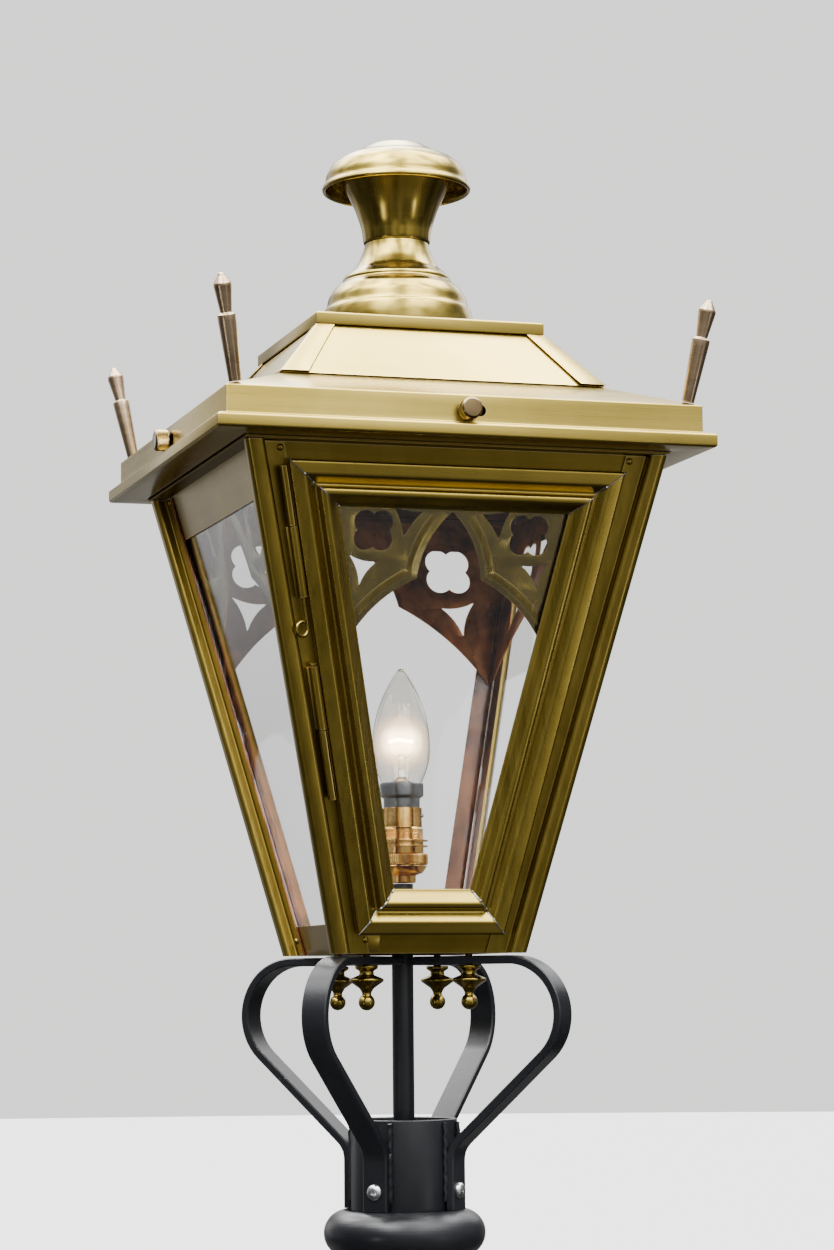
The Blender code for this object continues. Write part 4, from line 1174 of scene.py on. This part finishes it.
coil_turns, coil_radius, coil_half = 30, 0.0009, 0.0075
coil_path = []
for k in range(coil_turns * 8 + 1):
    along = 2 * k / (coil_turns * 8) - 1
    a = 2 * math.pi * k / 8
    bow = 0.0012 * (1 - along * along)
    middle = Vector((coil_half * along, 0.0035 * math.sin(3 * along), FILAMENT_Z + bow))
    coil_path.append(pin_turn @ (middle + coil_radius * Vector((0, math.cos(a), math.sin(a)))))
wire_radius = 0.00028
filament = tube_along("coiled_filament", coil_path, lambda k: wire_radius, glowing_finish(), sides=6)
support_parts = []
for hand, hand_name in HANDS:
    start = pin_turn @ Vector((hand * 0.0012, 0, LANTERN_Z + 0.1190))
    mid = pin_turn @ Vector((hand * 0.0062, 0.0008, LANTERN_Z + 0.1225))
    end = pin_turn @ Vector((hand * coil_half, 0, FILAMENT_Z))
    support_path = through([start, mid, end], 6)
    support_parts.append(tube_along(
        f"filament_wire_{hand_name}", support_path, lambda k: wire_radius, ZINC, sides=8
    ))
for piece in [stem, filament] + support_parts:
    added(piece, "bulb")

warm_light = bpy.data.lights.new("bulb_light", "POINT")
warm_light.color = (1.0, 0.62, 0.30)
warm_light.energy = 6.5
warm_light.shadow_soft_size = 0.009
warm_lamp = in_scene("bulb_light", warm_light)
warm_lamp.location = (0, 0, LANTERN_Z + 0.131)
warm_lamp.visible_camera = False
warm_lamp.visible_transmission = False

# ---- Door frame --------------------------------------------------------------------------------
# Four lengths of one rolled brass moulding, mitred and soldered: a flat outer band, a groove, a
# bold bead and an inner bevel. Rolled knuckles on its left stile run on the hinge wires.
door_low, door_high, door_half_low, door_half_high = 0.012, 0.281, 0.0450, 0.1024
door_back = 0.0077
door_section = [
    (0.0, 0.0), (0.0, 5.2), (0.9, 6.3), (7.8, 6.8), (9.0, 6.2), (12.8, 2.6), (14.5, 2.3), (15.2, 4.9),
    (16.4, 6.5), (18.8, 6.8), (20.2, 6.2), (24.2, 2.3), (25.8, 1.4), (26.6, 1.2), (26.6, 0.0),
]


def door_corner(inset, corner):
    """A corner of the door's outline, moved in from its edges. They run clockwise from top left."""
    low, high = up_slope(door_low), up_slope(door_high)
    slant = (door_half_high - door_half_low) / (high - low)
    height = high - inset if corner in (0, 1) else low + inset
    half = door_half_low + slant * (height - low) - inset * math.hypot(1.0, slant)
    return (-half if corner in (0, 3) else half), height


def door_half(height):
    share = (height - door_low) / (door_high - door_low)
    return door_half_low + (door_half_high - door_half_low) * share


door_face = on_face(0, door_back)
moulding_line = eased(door_section, 1.0, closed=True, steps=4)
BRASS_DOOR_STILE = brass_finish("antique_brass_door_stile", GRAIN_UP, tone=0.42, gloss=0.27)
BRASS_DOOR_RAIL = brass_finish("antique_brass_door_rail", GRAIN_LEVEL, tone=0.46, gloss=0.27)
DOOR_MEMBERS = (
    ("door_stile_left", "moulded_stile_left", 0, 3, BRASS_DOOR_STILE),
    ("door_stile_right", "moulded_stile_right", 1, 2, BRASS_DOOR_STILE),
    ("door_rail_top", "moulded_rail_top", 0, 1, BRASS_DOOR_RAIL),
    ("door_rail_bottom", "moulded_rail_bottom", 3, 2, BRASS_DOOR_RAIL),
)
for node_name, piece_name, first, second, finish in DOOR_MEMBERS:
    sections = []
    for share in (0.0, 0.03, 0.25, 0.5, 0.75, 0.97, 1.0):
        section = []
        for inset, rise in moulding_line:
            start = Vector((*door_corner(inset / 1000, first), rise / 1000))
            end = Vector((*door_corner(inset / 1000, second), rise / 1000))
            section.append(door_face @ start.lerp(end, share))
        sections.append(section)
    member = lofted(piece_name, sections, finish)
    fitted(member, "door", node_name)

SOLDER = metal_finish(
    "soft_solder", ((0.17, 0.155, 0.125), (0.50, 0.49, 0.47)), (0.26, 0.5), 160.0, 900.0,
    depth=0.0002, strength=0.6,
)
front_line = eased(door_section[1:-1], 1.0, closed=False, steps=4)
for corner, corner_name in enumerate(("top_left", "top_right", "foot_right", "foot_left")):
    seam_path = [
        door_face @ Vector((*door_corner(inset / 1000, corner), (rise - 0.15) / 1000))
        for inset, rise in front_line
    ]
    lumps = [
        0.00045 + 0.0016 * max(0.0, noise.noise(Vector((k * 0.37, corner * 7.3, 1.7)))) ** 1.2
        for k in range(len(seam_path))
    ]
    seam = tube_along(f"door_solder_{corner_name}", seam_path, lambda k: lumps[k], SOLDER, sides=8)
    added(seam, "door")


def hinge_point(height):
    """A point of the hinge's axis at a height above the lantern's base."""
    return Vector((-(door_half(height) + 0.0034), -(body_half(height) - 0.0025), LANTERN_Z + height))


def along_hinge(height):
    """A frame whose Z runs up the hinge's axis and whose X points towards the door."""
    axis_up = (hinge_point(0.3) - hinge_point(0.0)).normalized()
    out = Vector((0, 1, 0)).cross(axis_up).normalized()
    placed = Matrix((out, axis_up.cross(out), axis_up)).transposed().to_4x4()
    placed.translation = hinge_point(height)
    return placed


def rolled_knuckle(name, low, high, to_door, finish):
    """A leaf rolled into a knuckle: a scroll of sheet whose tail runs to its own side."""
    length = (hinge_point(high) - hinge_point(low)).length
    outer, bore = 0.0028, 0.00150
    first, last = (-60, 285) if to_door else (120, 465)
    angles = [math.radians(first + (last - first) * k / 32) for k in range(33)]
    angles = angles[1:] if to_door else angles[:-1]
    ring = [Vector((outer * math.cos(a), outer * math.sin(a))) for a in angles]
    ring += [Vector((bore * math.cos(a), bore * math.sin(a))) for a in reversed(angles)]
    placed = along_hinge(low)
    sections = [[placed @ Vector((p.x, p.y, z)) for p in ring] for z in (0.0, length * 0.5, length)]
    scroll = lofted(name, sections, finish)
    if to_door:
        corners = ((0.0014, 0.0006, 0.0003), (0.0058, 0.0019, length - 0.0003))
    else:
        corners = ((-0.0036, 0.0016, 0.0003), (0.0008, 0.0062, length - 0.0003))
    leaf = slab(name + "_leaf", corners[0], corners[1], placed, finish, 0.0002)
    return scroll, leaf


for name, low, high, body in (
    ("door_knuckle_upper", 0.2430, 0.2760, "door"),
    ("door_knuckle_lower", 0.0890, 0.1280, "door"),
    ("post_knuckle_upper", 0.2030, 0.2424, "post"),
    ("post_knuckle_lower", 0.1286, 0.1640, "post"),
):
    for piece in rolled_knuckle(name, low, high, body == "door", BRASS_UPRIGHT):
        added(piece, body)

# ---- Door pane and fret ------------------------------------------------------------------------
# The door's own glass, and behind it a pierced plate like those of the other sides but smaller,
# with a raised band that follows its arch.
refinish("door_pane", PANE_GLASS)
ease_edges(nodes["door_pane"], 0.0003)

door_inset = 0.0210
fret_depth = door_back + 0.0003 + 0.0028 + 0.0003
drawn = fret_drawing(
    lambda height: door_half(height) - door_inset * 1.024, door_high - door_inset * math.cos(lean),
    0.2551, (19.6, 38.5), (56.8, 70.6), 3.8, (47.4, 12.1), (7.0, 6.75),
    [(61.0, 26.4), (43.8, 29.6), (54.2, 43.8)], [(35.3, -1.5), (18.1, 0.9), (29.1, 15.1)],
)
pierced_fret(
    "pierced_fret_door", "door_arch_band", "door", "door_fret", on_face(0, fret_depth + 0.0005),
    drawn, (0.0056, 0.0056, 0.00079),
)

# ---- Hinge wires -------------------------------------------------------------------------------
# Two brass wires run in the knuckles. The upper one ends in a bent loop, by which it is drawn out.
wire_top, wire_foot, loop_radius = 0.2720, 0.1880, 0.0042
wire_frame = along_hinge(wire_foot)
wire_length = (hinge_point(wire_top) - hinge_point(wire_foot)).length
turn_out = math.radians(25)
away = Vector((-math.cos(turn_out), -math.sin(turn_out), 0))
sideways = Vector((math.sin(turn_out), -math.cos(turn_out), 0))
loop_centre = loop_radius * away + Vector((0, 0, -0.0022))
loop_path = [Vector((0, 0, rise)) for rise in (wire_length, wire_length / 2, 0.0012, 0)]
for step in range(29):
    a = math.radians(-300 * step / 28)
    loop_path.append(loop_centre + loop_radius * (Vector((0, 0, math.sin(a))) - math.cos(a) * away))
looped_wire = tube_along(
    "looped_hinge_wire", [wire_frame @ point for point in loop_path], lambda k: 0.00098,
    BRASS_TURNED, sides=16, sideways=wire_frame.to_3x3() @ sideways,
)
fitted(looped_wire, "hinge_pin", "hinge_pin_upper")

refinish("hinge_pin_lower", BRASS_TURNED)
ease_edges(nodes["hinge_pin_lower"], 0.00015)

# ---- Eaves tray --------------------------------------------------------------------------------
# The roof's lowest part: brass sheet folded into a sloping top, an upright fascia and a lip that
# turns out and back under. Each fascia has a slot for a thumbscrew.


def square_piece(name, profile, finish, ease=0.6, corner_radius=0.0009):
    """A square mitred sheet ring from (half width, height above the base) points in millimetres."""
    line = [(point[0] / 1000, LANTERN_Z + point[1] / 1000) for point in eased(profile, ease)]
    soft = corner_radius * (1 - math.cos(math.pi / 4))
    form = bmesh.new()
    columns = []
    for sx, sy in ((1, 1), (-1, 1), (-1, -1), (1, -1)):
        for in_x, in_y in ((0, 1), (0.5, 0.5), (1, 0)):
            column = []
            for half, height in line:
                if in_x == 0.5:
                    x, y = half - soft, half - soft
                else:
                    x, y = half - corner_radius * in_x, half - corner_radius * in_y
                column.append(form.verts.new((sx * x, sy * y, height)))
            columns.append(column)
    columns.sort(key=lambda column: math.atan2(column[0].co.y, column[0].co.x))
    for index, column in enumerate(columns):
        following = columns[(index + 1) % len(columns)]
        for step in range(len(line)):
            after = (step + 1) % len(line)
            form.faces.new([column[step], following[step], following[after], column[after]])
    return piece_from(name, form, finish)


def tray_top(half):
    """The height in millimetres of the tray's sloping top at a half width in millimetres."""
    return 317.6 + (143.5 - half) * 0.368


fascia = 143.5
tray_profile = [
    (92.0, tray_top(92.0)), (fascia, tray_top(fascia)), (fascia, 301.5), (148.3, 300.9),
    (150.0, 299.6), (150.0, 293.4), (149.0, 292.2), (129.2, 292.2), (129.2, 293.4), (148.8, 293.4),
    (148.8, 299.4),
    (fascia - 1.2, 300.3), (fascia - 1.2, tray_top(fascia) - 0.9), (92.0, tray_top(92.0) - 1.3),
]
BRASS_FASCIA = brass_finish("antique_brass_fascia", GRAIN_LEVEL, tone=0.85, gloss=0.27)
tray = square_piece("folded_eaves_tray", tray_profile, BRASS_FASCIA, ease=0.7)
slot_z, slot_half = LANTERN_Z + 0.3087, 0.0035
slot_tools = []
for side in range(4):
    across = side_turn(side) @ Matrix.Translation((0, 0, slot_z))
    outline = []
    for middle, start in ((-0.0015, 90), (0.0062, -90)):
        turns = [math.radians(start + 15 * k) for k in range(13)]
        outline += [(middle + slot_half * math.cos(a), slot_half * math.sin(a)) for a in turns]
    ends = [[across @ Vector((x, y, z)) for x, z in outline] for y in (-0.1480, -0.1380)]
    slot_tools.append(lofted("slot_tool", ends, BRASS_FASCIA))
bored(tray, slot_tools)
fitted(tray, "roof", "eaves_tray")

# ---- Roof shell and hip strips -----------------------------------------------------------------
# Four sloping panels folded and soldered into a hipped shell, with a strip folded over each hip,
# wider at its foot, where its corners curl up a little.
foot_half, foot_z, crest_half, crest_z = 99.0, 334.8, 68.3, 371.3
BRASS_ROOF = brass_finish("antique_brass_roof", GRAIN_LEVEL, tone=0.95, gloss=0.24)
shell_line = [
    (foot_half, foot_z), (crest_half, crest_z), (crest_half, crest_z + 4.6),
    (crest_half - 1.2, crest_z + 4.6), (crest_half - 1.2, crest_z - 0.1), (foot_half - 1.5, foot_z),
]
hipped_shell = square_piece("hipped_shell", shell_line, BRASS_ROOF, ease=0.3, corner_radius=0.0006)
fitted(hipped_shell, "roof", "roof_shell")

for quarter, corner in enumerate(CORNERS):
    sections = []
    for share in (0.0, 0.06, 0.2, 0.5, 0.8, 1.0):
        height = foot_z + 1.0 + (crest_z - foot_z - 2.3) * share
        half = foot_half + (crest_half - foot_half) * (height - foot_z) / (crest_z - foot_z)
        width = 16.0 - 5.0 * share
        curl = 0.9 * max(0.0, 1 - share / 0.2) ** 2
        edge_out, edge_in = half + 1.5, half + 0.4
        end = edge_out - width
        line = [
            (end, edge_out + curl), (edge_out - 0.5, edge_out), (edge_out, edge_out - 0.5),
            (edge_out + curl, end), (edge_in + curl, end), (edge_in, edge_in), (end, edge_in + curl),
        ]
        sections.append([
            side_turn(quarter) @ Vector((-x / 1000, -y / 1000, LANTERN_Z + height / 1000))
            for x, y in line
        ])
    strip = lofted(f"folded_hip_strip_{corner}", sections, BRASS_ROOF)
    ease_edges(strip, 0.0002)
    fitted(strip, "roof", f"hip_strip_{corner}")

# ---- Roof tray ---------------------------------------------------------------------------------
# A shallow square tray, turned down at its edges, that caps the shell and carries the chimney.
top_profile = [
    (30.0, 379.5), (70.2, 377.7), (71.0, 376.9), (71.0, 370.3), (69.8, 370.3), (69.8, 376.3),
    (30.0, 378.2),
]
roof_tray = square_piece("chimney_tray", top_profile, BRASS_FASCIA, ease=0.5)
fitted(roof_tray, "roof", "roof_tray")

# ---- Chimney cowl ------------------------------------------------------------------------------
# Three spun brass pieces: a bell with a stepped skirt, a flared trumpet, and a double-domed cap
# with a rolled brim. They are spun on a lathe, so their brush lines run round them.
BRASS_SPUN = brass_finish("antique_brass_spun", (20.0, 20.0, 800.0), tone=0.72, gloss=0.20)
bell_profile = [
    (45.4, 380.0), (47.3, 380.8), (47.0, 388.0), (45.6, 394.4), (43.9, 396.0), (42.6, 402.6),
    (38.6, 408.8), (33.4, 412.2), (33.8, 414.2), (31.4, 417.0), (26.6, 420.6), (23.0, 427.0),
    (20.4, 433.6), (18.9, 440.6), (17.7, 440.6), (19.2, 433.0), (21.8, 426.4), (25.4, 419.8),
    (32.0, 412.0), (37.6, 407.6), (41.4, 402.0), (42.6, 395.6), (44.2, 393.8), (45.6, 388.0),
    (45.4, 381.4),
]
trumpet_profile = [
    (19.8, 437.6), (20.6, 437.2), (21.6, 446.5), (23.8, 453.4), (26.0, 459.6), (28.9, 465.8),
    (32.2, 471.8), (35.4, 478.2), (34.2, 478.8), (31.0, 472.4), (27.7, 466.4), (24.8, 460.2),
    (22.6, 453.8), (20.4, 446.7),
]
for name, profile, ease, solid in (
    ("spun_bell", bell_profile, 2.2, "cowl_base"),
    ("spun_trumpet", trumpet_profile, 3.0, "cowl_trumpet"),
):
    spun = turned(name, profile, BRASS_SPUN, ON_LANTERN, ease=ease, segments=128)
    fitted(spun, "roof", solid)

cap_profile = [
    (0, 501.6), (9, 501.2), (17, 499.2), (24.4, 494.8), (27.2, 493.2), (34.6, 490.4),
    (40.6, 485.6), (43.6, 479.6), (44.2, 474.6), (45.6, 473.2), (46.2, 471.4), (45.2, 469.8),
    (43.6, 470.6), (43.0, 474.0), (42.4, 479.0), (39.6, 484.6), (34.0, 489.2), (26.6, 492.0),
    (23.6, 493.6), (16.4, 497.8), (9, 499.8), (0, 500.2),
]
domed_cap = turned("spun_cap", cap_profile, BRASS_SPUN, ON_LANTERN, 2.2, 128, closed=False)
fitted(domed_cap, "roof", "cowl_cap")

# ---- Corner spikes -----------------------------------------------------------------------------
# Four turned brass spikes that stand square to the eaves tray's ridges, and so lean outwards.
spike_half, spike_lean = 0.1367, 0.18
spike_z = LANTERN_Z + tray_top(spike_half * 1000) / 1000 + 0.0004
spike_profile = [
    (0, 61.6), (1.7, 61.0), (2.3, 59.6), (5.1, 55.2), (5.2, 54.0), (3.3, 38.6), (5.3, 37.6),
    (5.2, 34.0), (3.6, 0), (0, 0),
]
for quarter, corner in enumerate(CORNERS):
    spike_up = Vector((-spike_lean, -spike_lean, 1)).normalized()
    across = Vector((1, -1, 0)).normalized()
    stood = Matrix((across, spike_up.cross(across), spike_up)).transposed().to_4x4()
    stood.translation = (-spike_half, -spike_half, spike_z)
    spike = turned(
        f"turned_spike_{corner}", spike_profile, BRONZE_TURNED, side_turn(quarter) @ stood, 0.35, 64,
        closed=False,
    )
    fitted(spike, "roof", f"corner_spike_{corner}")

# ---- Thumbscrews -------------------------------------------------------------------------------
# Four finely knurled brass thumbscrews, one through each fascia's slot, that hold the roof down.
BRASS_KNOB = brass_finish(
    "dark_bronze_knob", GRAIN_LEVEL, tone=0.4, gloss=0.24, dark=(0.10, 0.064, 0.026),
    light=(0.24, 0.165, 0.072),
)
screw_profile = [
    (0, 9.4), (5.2, 9.4), (6.3, 8.4), (6.4, 7.6), (6.4, 5.0), (6.4, 2.4), (6.4, 1.6), (5.6, 0.8),
    (3.0, 0.8), (2.8, 0.5), (2.0, 0.5), (2.0, -24), (0, -24),
]
for side, side_name in enumerate(("front", "right", "back", "left")):
    seat = side_turn(side) @ Matrix.Translation((-0.0012, -fascia / 1000, slot_z))
    seat = seat @ Matrix.Rotation(math.pi / 2, 4, "X")
    knob = turned(
        f"knurled_screw_{side_name}", screw_profile, BRASS_KNOB, seat, 0.3, 192,
        closed=False, ribs=(1.7, 8.3, 48, 0.30),
    )
    fitted(knob, f"thumbscrew_{side_name}", f"thumbscrew_{side_name}")
